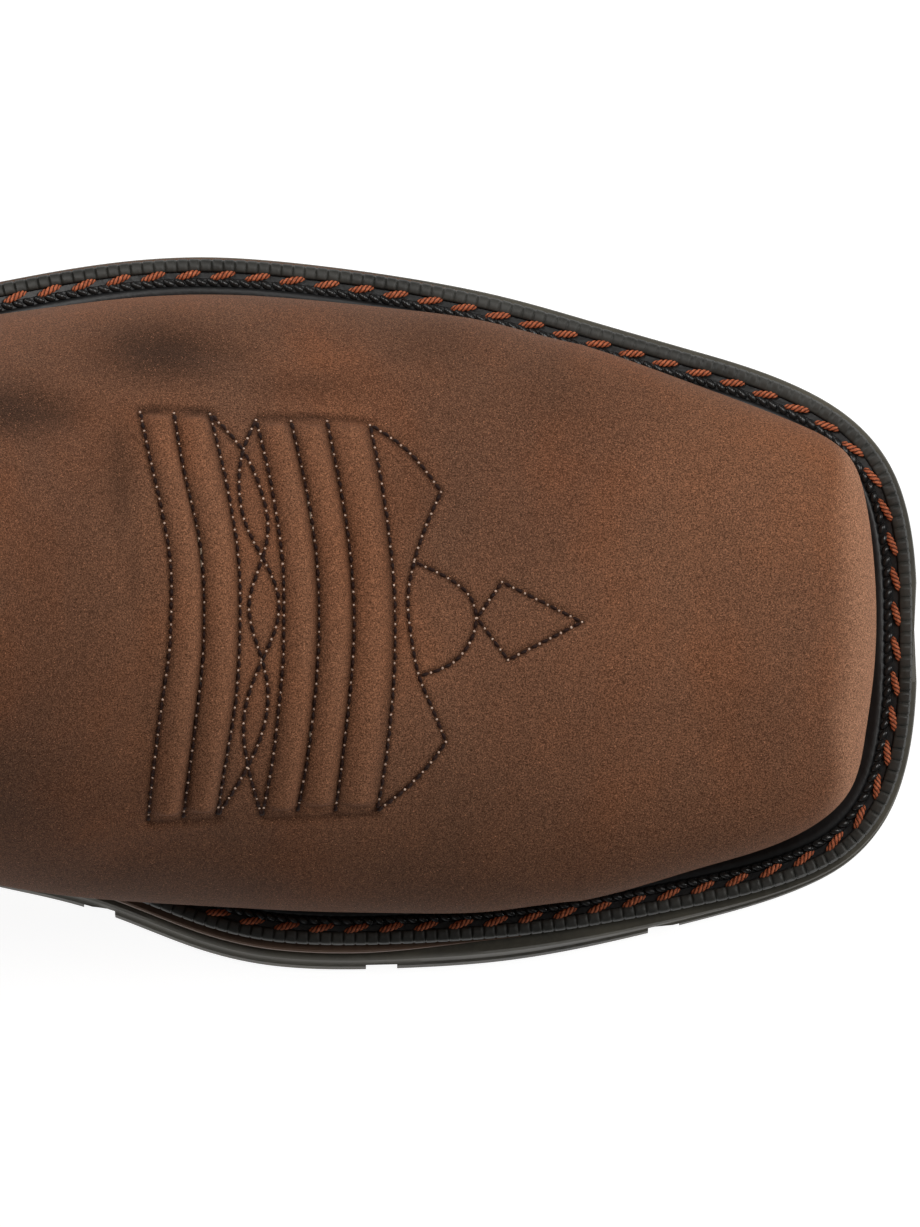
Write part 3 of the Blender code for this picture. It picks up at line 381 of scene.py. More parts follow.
def spline(params, values, at):
    """Natural cubic spline through rows of values, read at new parameters."""
    params = np.asarray(params, float)
    values = np.asarray(values, float)
    count = len(params)
    step = np.diff(params)
    slope = np.diff(values, axis=0) / step[:, None]
    system = np.eye(count)
    target = np.zeros_like(values)
    for i in range(1, count - 1):
        system[i, i - 1 : i + 2] = step[i - 1], 2 * (step[i - 1] + step[i]), step[i]
        target[i] = 6 * (slope[i] - slope[i - 1])
    bend = np.linalg.solve(system, target)
    at = np.clip(np.asarray(at, float), params[0], params[-1])
    k = np.clip(np.searchsorted(params, at, side="right") - 1, 0, count - 2)
    h = step[k][:, None]
    left = (params[k + 1] - at)[:, None]
    right = (at - params[k])[:, None]
    cubic = (bend[k] * left**3 + bend[k + 1] * right**3) / (6 * h)
    return (
        cubic
        + (values[k] / h - bend[k] * h / 6) * left
        + (values[k + 1] / h - bend[k + 1] * h / 6) * right
    )


def chord_params(points):
    steps = np.linalg.norm(np.diff(np.asarray(points, float), axis=0), axis=1)
    return np.concatenate([[0.0], np.cumsum(steps)])


def smooth_path(points, samples):
    knots = chord_params(points)
    return spline(knots, points, np.linspace(0.0, knots[-1], samples))


def read_at(at, params, table):
    """Reads every column of a table at new parameters."""
    return np.stack([np.interp(at, params, column) for column in table.T], axis=1)


def plan_curve(rows, toe, width, back=None):
    """Dense outline in plan from the back, along the outer side, round the toe and back."""
    outer = [(row.along * SOLE_LENGTH, row.lateral * width) for row in rows]
    inner = [(row.along * SOLE_LENGTH, -row.medial * width) for row in rows]
    points = outer + [(toe.along * SOLE_LENGTH, toe.lateral * width)] + inner[::-1]
    if back is None:
        return smooth_path(points, PLAN_SAMPLES)
    heel = (back.along * SOLE_LENGTH, back.lateral * width)
    wrapped = [inner[1], inner[0], heel] + points + [heel, outer[0], outer[1]]
    knots = chord_params(wrapped)
    return spline(knots, wrapped, np.linspace(knots[2], knots[-3], PLAN_SAMPLES))


def curve_normals(curve):
    tangent = np.gradient(curve, axis=0)
    tangent /= np.linalg.norm(tangent, axis=1)[:, None]
    return np.stack([tangent[:, 1], -tangent[:, 0]], axis=1)


def inset_curve(curve, distance):
    return curve + curve_normals(curve) * np.broadcast_to(distance, len(curve))[:, None]


def split_sides(curve):
    """The outer and inner halves of a dense outline, each with x rising."""
    tip = int(np.argmax(curve[:, 0]))
    return curve[: tip + 1], curve[tip:][::-1]


def half_width(side, x):
    return np.interp(x, side[:, 0], side[:, 1])


def rise(x):
    """How far the underside of the sole stands above its lowest plane."""
    x = np.asarray(x, float)
    pitch = HEEL_RISE * (1.0 - smoothstep((x - HEEL_LENGTH) / (FLAT_FROM - HEEL_LENGTH)))
    roll = np.clip((x - FLAT_TO) / (SOLE_LENGTH - FLAT_TO), 0.0, None)
    return pitch + TOE_SPRING * roll**2


def outsole_top(x):
    wrap = smoothstep((np.asarray(x) - WRAP_FROM) / (WRAP_TO - WRAP_FROM))
    return rise(x) + LUG_DEPTH + OUTSOLE_BODY + wrap * MIDSOLE_THICKNESS


def outsole_bottom(x):
    return rise(x) + np.where(np.asarray(x) < LUGS_FROM, LUG_DEPTH, 0.0)


def midsole_top(x):
    return rise(x) + LUG_DEPTH + OUTSOLE_BODY + MIDSOLE_THICKNESS


def welt_bottom(x):
    return midsole_top(x) + GAP


def welt_top(x):
    return welt_bottom(x) + WELT_THICKNESS


def feather(x):
    """Height of the upper's lower edge, just over the welt."""
    return welt_top(x) + SEAT_GAP


def flare_inset(curve, base, share):
    """Inset of a layer: a plain margin, and more along the inner side of the ball."""
    along = curve[:, 0] / SOLE_LENGTH
    inner = smoothstep(-curve[:, 1] / (0.2 * BALL_WIDTH))
    return base + share * MEDIAL_FLARE * inner * hump(along, 0.30, 0.25, 0.74, 0.24)


def control_rows():
    """Foot and shaft sections in metres, as one array with a row for each section."""
    side_widths = split_sides(plan_curve(UPPER_PLAN, UPPER_TOE, UPPER_WIDTH))
    rows = []
    for row in FOOT_SECTIONS:
        foot = row.foot * SOLE_LENGTH
        lateral = half_width(side_widths[LATERAL], foot)
        medial = half_width(side_widths[MEDIAL], foot)
        ankle = smoothstep((row.seat - 0.2) / 0.8) * 0.5 * ANKLE_WIDTH
        keep = 1.0 - smoothstep((row.seat - 0.2) / 0.8)
        low = float(feather(foot)) + row.seat * HEEL_CUP_HEIGHT
        rows.append([foot, low, row.front * SOLE_LENGTH, row.ridge * INSTEP_HEIGHT,
                     keep * lateral + ankle, keep * medial - ankle,
                     row.feather, row.belly, row.tuck, row.arch])
    back_from = rows[-1][1]
    front_from = rows[-1][3]
    drawn_length = (TOP_SECTION.front - TOP_SECTION.back) * SOLE_LENGTH
    length_share = SHAFT_TOP_LENGTH / drawn_length
    for row in SHAFT_SECTIONS:
        half = 0.5 * (ANKLE_WIDTH + row.spread * (SHAFT_TOP_WIDTH - ANKLE_WIDTH))
        middle = 0.5 * (row.back + row.front) * SOLE_LENGTH
        reach = 0.5 * (row.front - row.back) * SOLE_LENGTH
        reach *= 1.0 + row.spread * (length_share - 1.0)
        rows.append([middle - reach, back_from + row.rise * (COLLAR_HEIGHT - back_from),
                     middle + reach, front_from + row.climb * (COLLAR_HEIGHT - front_from),
                     half, -half, 0.0, 0.49, 0.94, 2.1])
    return np.array(rows)


def spine_shift(x):
    """The ridge of the vamp drifts a little to the inner side towards the toe."""
    return -0.03 * UPPER_WIDTH * smoothstep((x / SOLE_LENGTH - 0.50) / 0.36)


class UpperForm:
    """The outer face of the upper and shaft as a fan of cross sections over the last."""

    def __init__(self):
        self.rows = control_rows()
        self.knots = 0.75 * chord_params(self.rows[:, 0:2]) + 0.25 * chord_params(self.rows[:, 2:4])
        self.dense_knots = np.linspace(0.0, self.knots[-1], 2000)
        self.dense = spline(self.knots, self.rows, self.dense_knots)
        on_foot = self.dense_knots <= self.knots[len(FOOT_SECTIONS) - 1]
        self.turn = int(np.argmin(np.where(on_foot, self.dense[:, 0], np.inf)))
        self.fan_from = self.knots[FAN_ROW]
        open_rows = [k for k, row in enumerate(FOOT_SECTIONS) if row.feather > 0.0]
        self.closed_from = self.knots[open_rows[-1] + 1]
        self.closed_u = (self.closed_from - self.fan_from) / (self.knots[-1] - self.fan_from)
        plan = plan_curve(UPPER_PLAN, UPPER_TOE, UPPER_WIDTH)
        self.toe_outline = [self.toe_part(side) for side in split_sides(plan)]

    def param_at(self, x):
        foot = self.dense[: self.turn, 0]
        return float(np.interp(-x, -foot, self.dense_knots[: self.turn]))

    def toe_part(self, side):
        start = FAN_FROM * SOLE_LENGTH
        first = [start, float(half_width(side, start))]
        points = np.vstack([[first], side[side[:, 0] > start]])
        return points, chord_params(points)

    def read(self, at):
        return np.array([np.interp(at, self.dense_knots, column) for column in self.dense.T])

    def section(self, side, u):
        """Section data for one side. u runs from -1 at the toe's middle line, through
        0 where the fan starts, to 1 at the top."""
        if u >= 0.0:
            at = self.fan_from + u * (self.knots[-1] - self.fan_from)
            row = self.read(at)
            shift = float(spine_shift(row[0]))
            keep = max(row[6], 0.0) if at < self.closed_from else 0.0
            return dict(low=row[0:2], top=row[2:4], slope=0.0, shift=shift,
                        reach=(0.0, row[4 + side] - shift), feather=keep,
                        belly=row[7], tuck=row[8], arch=row[9])
        outline, lengths = self.toe_outline[side]
        share = -u
        at = share * lengths[-1]
        x = float(np.interp(at, lengths, outline[:, 0]))
        y = float(np.interp(at, lengths, outline[:, 1]))
        start = FAN_FROM * SOLE_LENGTH
        travel = (FAN_CENTRE - FAN_FROM) * SOLE_LENGTH
        power = lengths[-1] / travel
        centre = start + travel * (1.0 - (1.0 - share) ** power)
        ridge = self.read(self.param_at(centre))
        ahead = self.read(self.param_at(centre + SLOPE_STEP))
        shape = self.read(self.param_at(x))
        shift = float(spine_shift(centre))
        reach = (x - centre, y - shift)
        blend = float(smoothstep(share / 0.35))
        keep = (1.0 - blend) * shape[6] + blend * (1.0 - TOE_TUCK_IN / math.hypot(*reach))
        return dict(low=np.array([centre, float(feather(centre + keep * reach[0]))]),
                    top=np.array([centre, ridge[3]]), slope=(ahead[3] - ridge[3]) / SLOPE_STEP,
                    shift=shift, reach=reach, feather=keep,
                    belly=shape[7], tuck=shape[8], arch=shape[9])

    def half(self, side, u, t):
        """Points of one side of a section: t runs from the welt at 0 to the ridge at 1."""
        data = self.section(side, u)
        split = float(np.clip(1.667 * data["belly"] - 0.3, 0.15, 0.5))
        t = np.asarray(t, float)
        start = math.asin(min(data["feather"], 1.0) ** (1.0 / data["tuck"]))
        below = start + np.clip(t / split, 0.0, 1.0) * (math.pi / 2 - start)
        above = np.clip((t - split) / (1.0 - split), 0.0, 1.0) * math.pi / 2
        power = 2.0 / data["arch"]
        out_low = np.sin(below) ** data["tuck"]
        up_low = data["belly"] * (1.0 - np.cos(below) / math.cos(start))
        out_high = np.clip(np.cos(above), 0.0, 1.0) ** power
        up_high = data["belly"] + (1.0 - data["belly"]) * np.sin(above) ** power
        out = np.where(t < split, out_low, out_high)
        up = np.where(t < split, up_low, up_high)
        dx, dy = data["reach"]
        x = data["low"][0] + up * (data["top"][0] - data["low"][0]) + out * dx
        ceiling = data["top"][1] + data["slope"] * out * dx
        z = data["low"][1] + up * (ceiling - data["low"][1])
        return np.stack([x, data["shift"] + out * dy, z], axis=1)


def side_line(rows, lower=0.0):
    points = np.array([(r.along * SOLE_LENGTH, r.up * INSTEP_HEIGHT - lower) for r in rows])
    return smooth_path(points, LINE_SAMPLES)


def above_line(points, line):
    return points[..., 2] - np.interp(points[..., 0], line[:, 0], line[:, 1])


def collar_line(x):
    """Height of the scalloped collar by where it stands along the boot."""
    middle = 0.5 * (TOP_SECTION.back + TOP_SECTION.front) * SOLE_LENGTH
    reach = 0.5 * SHAFT_TOP_LENGTH
    ahead = np.clip((x - middle) / reach, 0.0, 1.2)
    behind = np.clip((middle - x) / reach, 0.0, 1.2)
    return COLLAR_HEIGHT - COLLAR_DIP_FRONT * ahead**2 - COLLAR_DIP_BACK * behind**2


def plain_outline():
    return plan_curve(SOLE_PLAN, SOLE_TOE, BALL_WIDTH, back=SOLE_BACK)


def sole_outline():
    """The sole's outline as worn in the photo: out at the lateral ball, in at the medial waist."""
    outline = plain_outline()
    x, y = outline[:, 0], outline[:, 1]
    lateral = smoothstep(y / 0.010)
    medial = smoothstep(-y / 0.010)
    ball = BALL_OUT * hump(x, *BALL_SPAN)
    outline[:, 1] = y + ball * lateral + WAIST_IN * hump(x, *WAIST_SPAN) * medial
    return outline


def frame_shift():
    """From the last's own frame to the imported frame, read off the outsole's box."""
    low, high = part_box("outsole")
    outline = plain_outline()
    middle = 0.5 * (outline[:, 1].min() + outline[:, 1].max())
    x = high.x - (outline[:, 0].max() - END_MARGIN)
    return np.array([x, 0.5 * (low.y + high.y) - middle, 0.0])


SHIFT = frame_shift()
FOCAL_PX = PX_PER_METRE * CAMERA_DISTANCE
CAMERA_UP = np.array([0.0, math.cos(CAMERA_TILT), math.sin(CAMERA_TILT)])
CAMERA_BACK = np.array([0.0, -math.sin(CAMERA_TILT), math.cos(CAMERA_TILT)])
PHOTO_CENTRE = np.array([
    SOLE_LENGTH - (TOE_PX - 0.5 * IMAGE_WIDTH) / PX_PER_METRE,
    (MIDDLE_PX - 0.5 * IMAGE_HEIGHT) / PX_PER_METRE,
    PHOTO_LEVEL,
])
CAMERA_AT = PHOTO_CENTRE + CAMERA_BACK * CAMERA_DISTANCE


def to_pixels(points):
    """Where points of the last's frame land in the photo."""
    ray = points - CAMERA_AT
    depth = -(ray @ CAMERA_BACK)
    px = 0.5 * IMAGE_WIDTH + FOCAL_PX * ray[..., 0] / depth
    py = 0.5 * IMAGE_HEIGHT - FOCAL_PX * (ray @ CAMERA_UP) / depth
    return px, py


def pixel_ray(px, py):
    across = (px - 0.5 * IMAGE_WIDTH) / FOCAL_PX
    up = (0.5 * IMAGE_HEIGHT - py) / FOCAL_PX
    ray = np.array([across, 0.0, 0.0]) + up * CAMERA_UP - CAMERA_BACK
    return ray / np.linalg.norm(ray)


# Meshes


def add_object(name, data):
    made = bpy.data.objects.new(name, data)
    bpy.context.scene.collection.objects.link(made)
    return made


def make_piece(name, points, faces, looks, slots_of_faces=None, sharp=None,
               node=None, masks=None):
    """A named piece from points in the last's frame, riding on the boot."""
    mesh = bpy.data.meshes.new(name)
    mesh.from_pydata((np.asarray(points) + SHIFT).tolist(), [], faces)
    for look in looks:
        mesh.materials.append(look)
    if slots_of_faces is not None:
        mesh.polygons.foreach_set("material_index", np.asarray(slots_of_faces, np.int32))
    for mask, values in (masks or {}).items():
        layer = mesh.attributes.new(mask, "FLOAT", "POINT")
        layer.data.foreach_set("value", np.asarray(values, np.float32))
    mesh.validate()
    mesh.shade_smooth()
    if sharp is not None:
        mesh.set_sharp_from_angle(angle=math.radians(sharp))
    piece = add_object(name, mesh)
    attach(piece, "root")
    if node:
        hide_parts(node)
    return piece


class Batch:
    """Gathers many small closed forms into one mesh."""

    def __init__(self):
        self.points, self.faces, self.looks, self.creviced, self.count = [], [], [], [], 0

    def add(self, points, faces, look=0, crevice=None):
        self.points.append(np.asarray(points, float))
        self.faces.extend([tuple(k + self.count for k in face) for face in faces])
        self.looks.extend([look] * len(faces))
        self.creviced.append(np.zeros(len(points)) if crevice is None else crevice)
        self.count += len(points)

    def make(self, name, looks):
        make_piece(name, np.vstack(self.points), self.faces, looks,
                   slots_of_faces=self.looks, masks={"crevice": np.concatenate(self.creviced)})


def ring_faces(rings, sides, closed=False):
    """Faces between rings of points that lie one after another."""
    faces = []
    for k in range(rings if closed else rings - 1):
        n = (k + 1) % rings
        for a in range(sides):
            b = (a + 1) % sides
            faces.append((k * sides + a, k * sides + b, n * sides + b, n * sides + a))
    return faces


def capped_faces(rings, sides):
    """Faces of a run of rings with a flat face at each end."""
    ends = [tuple(range(sides))[::-1], tuple(range((rings - 1) * sides, rings * sides))]
    return ring_faces(rings, sides) + ends


def tube_faces(rings, sides):
    """Faces of a tube of rings, with a point closing each end (the last two points)."""
    faces = ring_faces(rings, sides)
    first, last = rings * sides, rings * sides + 1
    for a in range(sides):
        b = (a + 1) % sides
        faces.append((first, b, a))
        faces.append((last, (rings - 1) * sides + a, (rings - 1) * sides + b))
    return faces


def sheet_faces(rows, cols):
    """Faces of a grid of points that lie row after row."""
    faces = []
    for a in range(rows - 1):
        base = a * cols
        for b in range(cols - 1):
            faces.append((base + b, base + b + 1, base + cols + b + 1, base + cols + b))
    return faces


def ball_form(rings, sides):
    """Points and faces of a unit ball with its poles on the first axis."""
    points = []
    for k in range(rings):
        angle = (k + 1) * math.pi / (rings + 1)
        for a in range(sides):
            turn = 2 * math.pi * a / sides
            points.append((math.cos(angle), math.sin(angle) * math.cos(turn),
                           math.sin(angle) * math.sin(turn)))
    points += [(1.0, 0.0, 0.0), (-1.0, 0.0, 0.0)]
    return np.array(points), tube_faces(rings, sides)


def weld(points, faces, looks, masks):
    """Joins points that coincide and drops the faces that this flattens."""
    keys = np.round(points / WELD_SIZE).astype(np.int64)
    _, first, index = np.unique(keys, axis=0, return_index=True, return_inverse=True)
    index = index.ravel()
    kept_faces, kept_looks = [], []
    for face, look in zip(faces, looks):
        loop = []
        for corner in face:
            k = int(index[corner])
            if not loop or loop[-1] != k:
                loop.append(k)
        if len(loop) > 1 and loop[0] == loop[-1]:
            loop.pop()
        if len(set(loop)) >= 3 and len(set(loop)) == len(loop):
            kept_faces.append(tuple(loop))
            kept_looks.append(look)
    kept_masks = {name: values[first] for name, values in masks.items()}
    return points[first], kept_faces, kept_looks, kept_masks


def grid_normals(grid, wrap_first_row=False):
    """Outward normals of a grid of points (rows by columns)."""
    along = np.gradient(grid, axis=0)
    across = np.gradient(grid, axis=1)
    normals = np.cross(across, along)
    size = np.linalg.norm(normals, axis=2)
    bad = size < 1e-14
    normals /= np.where(bad, 1.0, size)[..., None]
    if wrap_first_row:
        mirrored = 0.5 * (normals[0] + normals[0][::-1])
        length = np.linalg.norm(mirrored, axis=1)[:, None]
        normals[0] = np.where(length < 1e-6, normals[2], mirrored / np.maximum(length, 1e-6))
    return normals


def side_normals(grid, side):
    """Normals of a grid on one side of the boot, facing away from its middle."""
    normals = grid_normals(grid)
    return -normals if np.sum(normals[..., 1]) * SIDE_SIGN[side] < 0 else normals


def shell(name, outer, normals, thickness, looks, node, row_step, col_step,
          open_rows=None, seam_rows=(), masks=None, ends=(True, True), sides_open=True):
    """Closed leather shell: a fine outer grid, a coarser inner one and rims between."""
    rows, cols = outer.shape[:2]
    inner = outer - normals * thickness
    row_ids = sorted(set(range(0, rows, row_step)) | {rows - 1} | set(seam_rows))
    col_ids = sorted(set(range(0, cols, col_step)) | {cols - 1, cols // 2})
    points = [outer.reshape(-1, 3)]
    offset = rows * cols
    inner_index = {}
    for a in row_ids:
        for b in col_ids:
            inner_index[a, b] = offset
            offset += 1
    points.append(np.array([inner[a, b] for a in row_ids for b in col_ids]))
    faces = sheet_faces(rows, cols)
    sheet = [0] * len(faces)
    for a, c in zip(row_ids, row_ids[1:]):
        for b, d in zip(col_ids, col_ids[1:]):
            faces.append((inner_index[a, b], inner_index[c, b], inner_index[c, d],
                          inner_index[a, d]))
            sheet.append(1)

    def rim(outer_ids, inner_ids):
        faces.append(tuple(outer_ids) + tuple(inner_ids[::-1]))
        sheet.append(0)

    for b, d in zip(col_ids, col_ids[1:]):
        if ends[1]:
            last = (rows - 1) * cols
            rim([last + k for k in range(b, d + 1)],
                [inner_index[rows - 1, b], inner_index[rows - 1, d]])
        if ends[0]:
            rim(list(range(d, b - 1, -1)), [inner_index[0, d], inner_index[0, b]])
    if sides_open:
        for a, c in zip(row_ids, row_ids[1:]):
            if open_rows is not None and a >= open_rows:
                continue
            rim([k * cols for k in range(a, c + 1)], [inner_index[a, 0], inner_index[c, 0]])
            rim([k * cols + cols - 1 for k in range(c, a - 1, -1)],
                [inner_index[c, cols - 1], inner_index[a, cols - 1]])
    allpoints = np.vstack(points)
    all_masks = {}
    for mask, values in (masks or {}).items():
        extra = np.zeros(len(allpoints) - rows * cols)
        all_masks[mask] = np.concatenate([np.asarray(values).ravel(), extra])
    allpoints, faces, sheet, all_masks = weld(allpoints, faces, sheet, all_masks)
    make_piece(name, allpoints, faces, looks, slots_of_faces=sheet, sharp=SHEET_SHARP,
               node=node, masks=all_masks)


def face_outward(piece):
    """Turns the faces of a closed piece outward."""
    mesh = bmesh.new()
    mesh.from_mesh(piece.data)
    bmesh.ops.recalc_face_normals(mesh, faces=mesh.faces)
    mesh.to_mesh(piece.data)
    mesh.free()
    return piece


def loaf(name, outline, levels, stations, looks, node, end=None):
    """Solid across the boot between stacked outlines: levels run from the bottom up as
    (inset, height function) pairs."""
    sides = [split_sides(inset_curve(outline, inset)) for inset, _ in levels]
    shares = 0.5 - 0.5 * np.cos(np.linspace(0.0, 1.0, stations) * math.pi)
    points = []
    ring = 2 * len(levels)
    for share in shares:
        outer_side, inner_side = [], []
        for (_, height), pair in zip(levels, sides):
            first = pair[0][:, 0].min() + END_MARGIN
            last = pair[0][:, 0].max() - END_MARGIN if end is None else end
            x = first + share * (last - first)
            z = float(height(x))
            outer_side.append((x, float(half_width(pair[LATERAL], x)), z))
            inner_side.append((x, float(half_width(pair[MEDIAL], x)), z))
        points.extend(outer_side + inner_side[::-1])
    faces = ring_faces(stations, ring)
    faces.append(tuple(range(ring)))
    faces.append(tuple(range((stations - 1) * ring, stations * ring))[::-1])
    return face_outward(make_piece(name, points, faces, looks, sharp=SOLE_SHARP, node=node))


def groove_cutter(centre, size, angle):
    """A turned box to cut with."""
    mesh = bmesh.new()
    for vert in bmesh.ops.create_cube(mesh, size=1.0)["verts"]:
        wide, long = vert.co.x * size[0], vert.co.y * size[1]
        vert.co = Vector((
            centre[0] + wide * math.cos(angle) - long * math.sin(angle) + SHIFT[0],
            centre[1] + wide * math.sin(angle) + long * math.cos(angle) + SHIFT[1],
            centre[2] + vert.co.z * size[2],
        ))
    data = bpy.data.meshes.new("groove_cutter")
    mesh.to_mesh(data)
    mesh.free()
    return add_object("groove_cutter", data)


def carve(piece, boxes):
    """Cuts boxes out of a piece and keeps the result as its mesh."""
    for box in boxes:
        cutter = groove_cutter(*box)
        change = piece.modifiers.new("groove", "BOOLEAN")
        change.operation = "DIFFERENCE"
        change.object = cutter
        change.solver = "EXACT"
        bpy.context.view_layer.update()
        graph = bpy.context.evaluated_depsgraph_get()
        mesh = bpy.data.meshes.new_from_object(piece.evaluated_get(graph))
        piece.modifiers.clear()
        piece.data = mesh
        bpy.data.objects.remove(cutter, do_unlink=True)
    piece.data.shade_smooth()
    piece.data.set_sharp_from_angle(angle=math.radians(SOLE_SHARP))


# Materials


class Look:
    """A Principled material with helpers for its nodes."""

    def __init__(self, name, **constants):
        self.material = bpy.data.materials.new(name)
        self.material.use_nodes = True
        self.tree = self.material.node_tree
        self.shader = self.tree.nodes["Principled BSDF"]
        self.set_inputs(self.shader, constants)
        self.coords = self.node("ShaderNodeTexCoord")

    def set_inputs(self, node, values):
        for socket, value in values.items():
            node.inputs[socket.replace("_", " ")].default_value = value

    def node(self, kind, **values):
        made = self.tree.nodes.new(kind)
        self.set_inputs(made, values)
        return made

    def link(self, out, to):
        self.tree.links.new(out, to)

    def feed(self, socket, value):
        """Sets a socket to a colour or a number, or links it to the socket given."""
        if isinstance(value, tuple):
            socket.default_value = (*value, 1.0)
        elif isinstance(value, (int, float)):
            socket.default_value = value
        else:
            self.link(value, socket)

    def noise(self, scale, detail=3.0, rough=0.55, stretch=(1, 1, 1)):
        mapping = self.node("ShaderNodeMapping", Scale=stretch)
        node = self.node("ShaderNodeTexNoise", Scale=scale, Detail=detail, Roughness=rough)
        self.link(self.coords.outputs["Object"], mapping.inputs["Vector"])
        self.link(mapping.outputs["Vector"], node.inputs["Vector"])
        return node.outputs["Fac"]

    def cells(self, scale, randomness):
        node = self.node("ShaderNodeTexVoronoi", Scale=scale, Randomness=randomness)
        self.link(self.coords.outputs["Object"], node.inputs["Vector"])
        return node.outputs["Distance"]

    def wave(self, scale, direction, distortion):
        node = self.node("ShaderNodeTexWave", Scale=scale, Distortion=distortion)
        node.bands_direction = direction
        self.link(self.coords.outputs["Object"], node.inputs["Vector"])
        return node.outputs["Fac"]

    def mask(self, name):
        node = self.node("ShaderNodeAttribute")
        node.attribute_name = name
        return node.outputs["Fac"]

    def product(self, a, b):
        node = self.node("ShaderNodeMath")
        node.operation = "MULTIPLY"
        self.feed(node.inputs[0], a)
        self.feed(node.inputs[1], b)
        return node.outputs["Value"]

    def ramp(self, source, stops):
        node = self.node("ShaderNodeValToRGB")
        elements = node.color_ramp.elements
        while len(elements) < len(stops):
            elements.new(0.5)
        for element, (at, colour) in zip(elements, stops):
            element.position = at
            element.color = (*colour, 1.0) if isinstance(colour, tuple) else (colour,) * 3 + (1.0,)
        self.link(source, node.inputs["Fac"])
        return node.outputs["Color"]

    def mix(self, factor, a, b, blend="MIX"):
        node = self.node("ShaderNodeMix")
        node.data_type = "RGBA"
        node.blend_type = blend
        self.feed(node.inputs[0], factor)
        self.feed(node.inputs[6], a)
        self.feed(node.inputs[7], b)
        return node.outputs[2]

    def fade(self, source, share, tone, other):
        """Moves a tone towards another by a share of the source."""
        return self.mix(self.product(source, share), tone, other)

    def colour(self, source):
        self.link(source, self.shader.inputs["Base Color"])

    def roughness(self, source, low, high):
        span = self.node("ShaderNodeMapRange", To_Min=low, To_Max=high)
        self.link(source, span.inputs["Value"])
        self.link(span.outputs["Result"], self.shader.inputs["Roughness"])

    def bump(self, heights):
        """Chains (height, distance, strength) bumps into the shader's normal."""
        last = None
        for height, distance, strength in heights:
            node = self.node("ShaderNodeBump", Distance=distance, Strength=strength)
            self.link(height, node.inputs["Height"])
            if last is not None:
                self.link(last, node.inputs["Normal"])
            last = node.outputs["Normal"]
        self.link(last, self.shader.inputs["Normal"])


def tinted(colour, shares):
    """A colour with its channels scaled, all by one share or each by its own."""
    return tuple(float(c) for c in np.multiply(colour, shares))


def leather_look(name, light, middle, dark, masks=False):
    """Oiled nubuck: clouds of tone, fine nap with light specks. With masks it adds painted shade in
    patches, on the cord flanks and along the stitch grooves, a painted highlight on the cord tops,
    and a lighter toe front that is partly wear and partly painted highlight.
    """
    look = Look(name, Specular_IOR_Level=0.04, Sheen_Weight=0.0, Coat_Weight=0.0)
    clouds = look.noise(15.0, detail=4.0, rough=0.55)
    patches = look.noise(34.0, detail=4.0, rough=0.6, stretch=(1.0, 0.6, 1.0))
    tone = look.ramp(clouds, [(0.36, dark), (0.50, middle), (0.64, light)])
    rusty = tinted(middle, (1.22, 1.02, 0.84))
    olive = tinted(middle, (0.84, 0.94, 1.02))
    tone = look.mix(0.50, tone, look.ramp(patches, [(0.36, olive), (0.50, middle), (0.66, rusty)]))
    nap = look.noise(4200.0, detail=2.0, rough=0.7)
    grain = look.noise(1500.0, detail=3.0, rough=0.65)
    speckle = look.ramp(nap, [(0.30, 0.34), (0.50, 1.0), (0.70, 2.10)])
    mottle = look.ramp(grain, [(0.30, 0.82), (0.50, 1.0), (0.72, 1.16)])
    sparkle = look.ramp(look.noise(5600.0, detail=0.0), [(0.76, 0.0), (0.82, 1.0)])
    if masks:
        # Painted shade with some real mottling: darker in the vamp's patches and on the cords'
        # toe-side flanks.
        tone = look.fade(look.mask("shade_and_mottle"), 0.92, tone, tinted(dark, (0.36, 0.40, 0.42)))
        # Painted highlight on the tops of the raised cords.
        tone = look.fade(look.mask("crown"), 0.30, tone, tinted(light, 1.25))
        # Lighter toe front: partly rubbed wear, partly a painted highlight on the faces turned to
        # the toe.
        tone = look.fade(look.mask("edge"), 0.62, tone, tinted(light, (1.9, 2.15, 2.4)))
        # Painted shade along the stitch grooves and at the cord ends.
        tone = look.fade(look.mask("seam"), 0.85, tone, tinted(dark, 0.20))
    tone = look.mix(1.0, tone, speckle, "MULTIPLY")
    tone = look.mix(1.0, tone, mottle, "MULTIPLY")
    look.colour(look.fade(sparkle, 0.8, tone, tinted(light, 3.0)))
    look.roughness(clouds, 0.66, 0.82)
    look.bump([(grain, 0.0004, 0.30), (nap, 0.0002, 0.45)])
    return look.material


def rubber_look(name, colour, rough, bloom):
    look = Look(name, Specular_IOR_Level=0.42)
    dust = look.noise(45.0, detail=5.0, rough=0.6)
    fine = look.noise(700.0, detail=2.0)
    tone = look.ramp(dust, [(0.35, colour), (0.70, bloom)])
    look.colour(look.fade(look.ramp(fine, [(0.45, 0.0), (0.75, 1.0)]), 0.35, tone, bloom))
    look.roughness(dust, rough - 0.08, rough + 0.10)
    look.bump([(fine, 0.0003, 0.35)])
    return look.material


def thread_look(name, dark, light, crevice=False):
    look = Look(name, Specular_IOR_Level=0.22)
    fibres = look.noise(3500.0, detail=2.0, stretch=(0.5, 0.5, 1.0))
    wear = look.noise(220.0, detail=2.0)
    tone = look.fade(wear, 0.5, look.ramp(fibres, [(0.30, dark), (0.70, light)]), dark)
    if crevice:
        # Painted shade in the crevices between the twisted strands.
        tone = look.mix(look.mask("crevice"), tone, tinted(dark, 0.10))
    look.colour(tone)
    look.roughness(fibres, 0.50, 0.75)
    look.bump([(fibres, 0.00015, 0.6)])
    return look.material


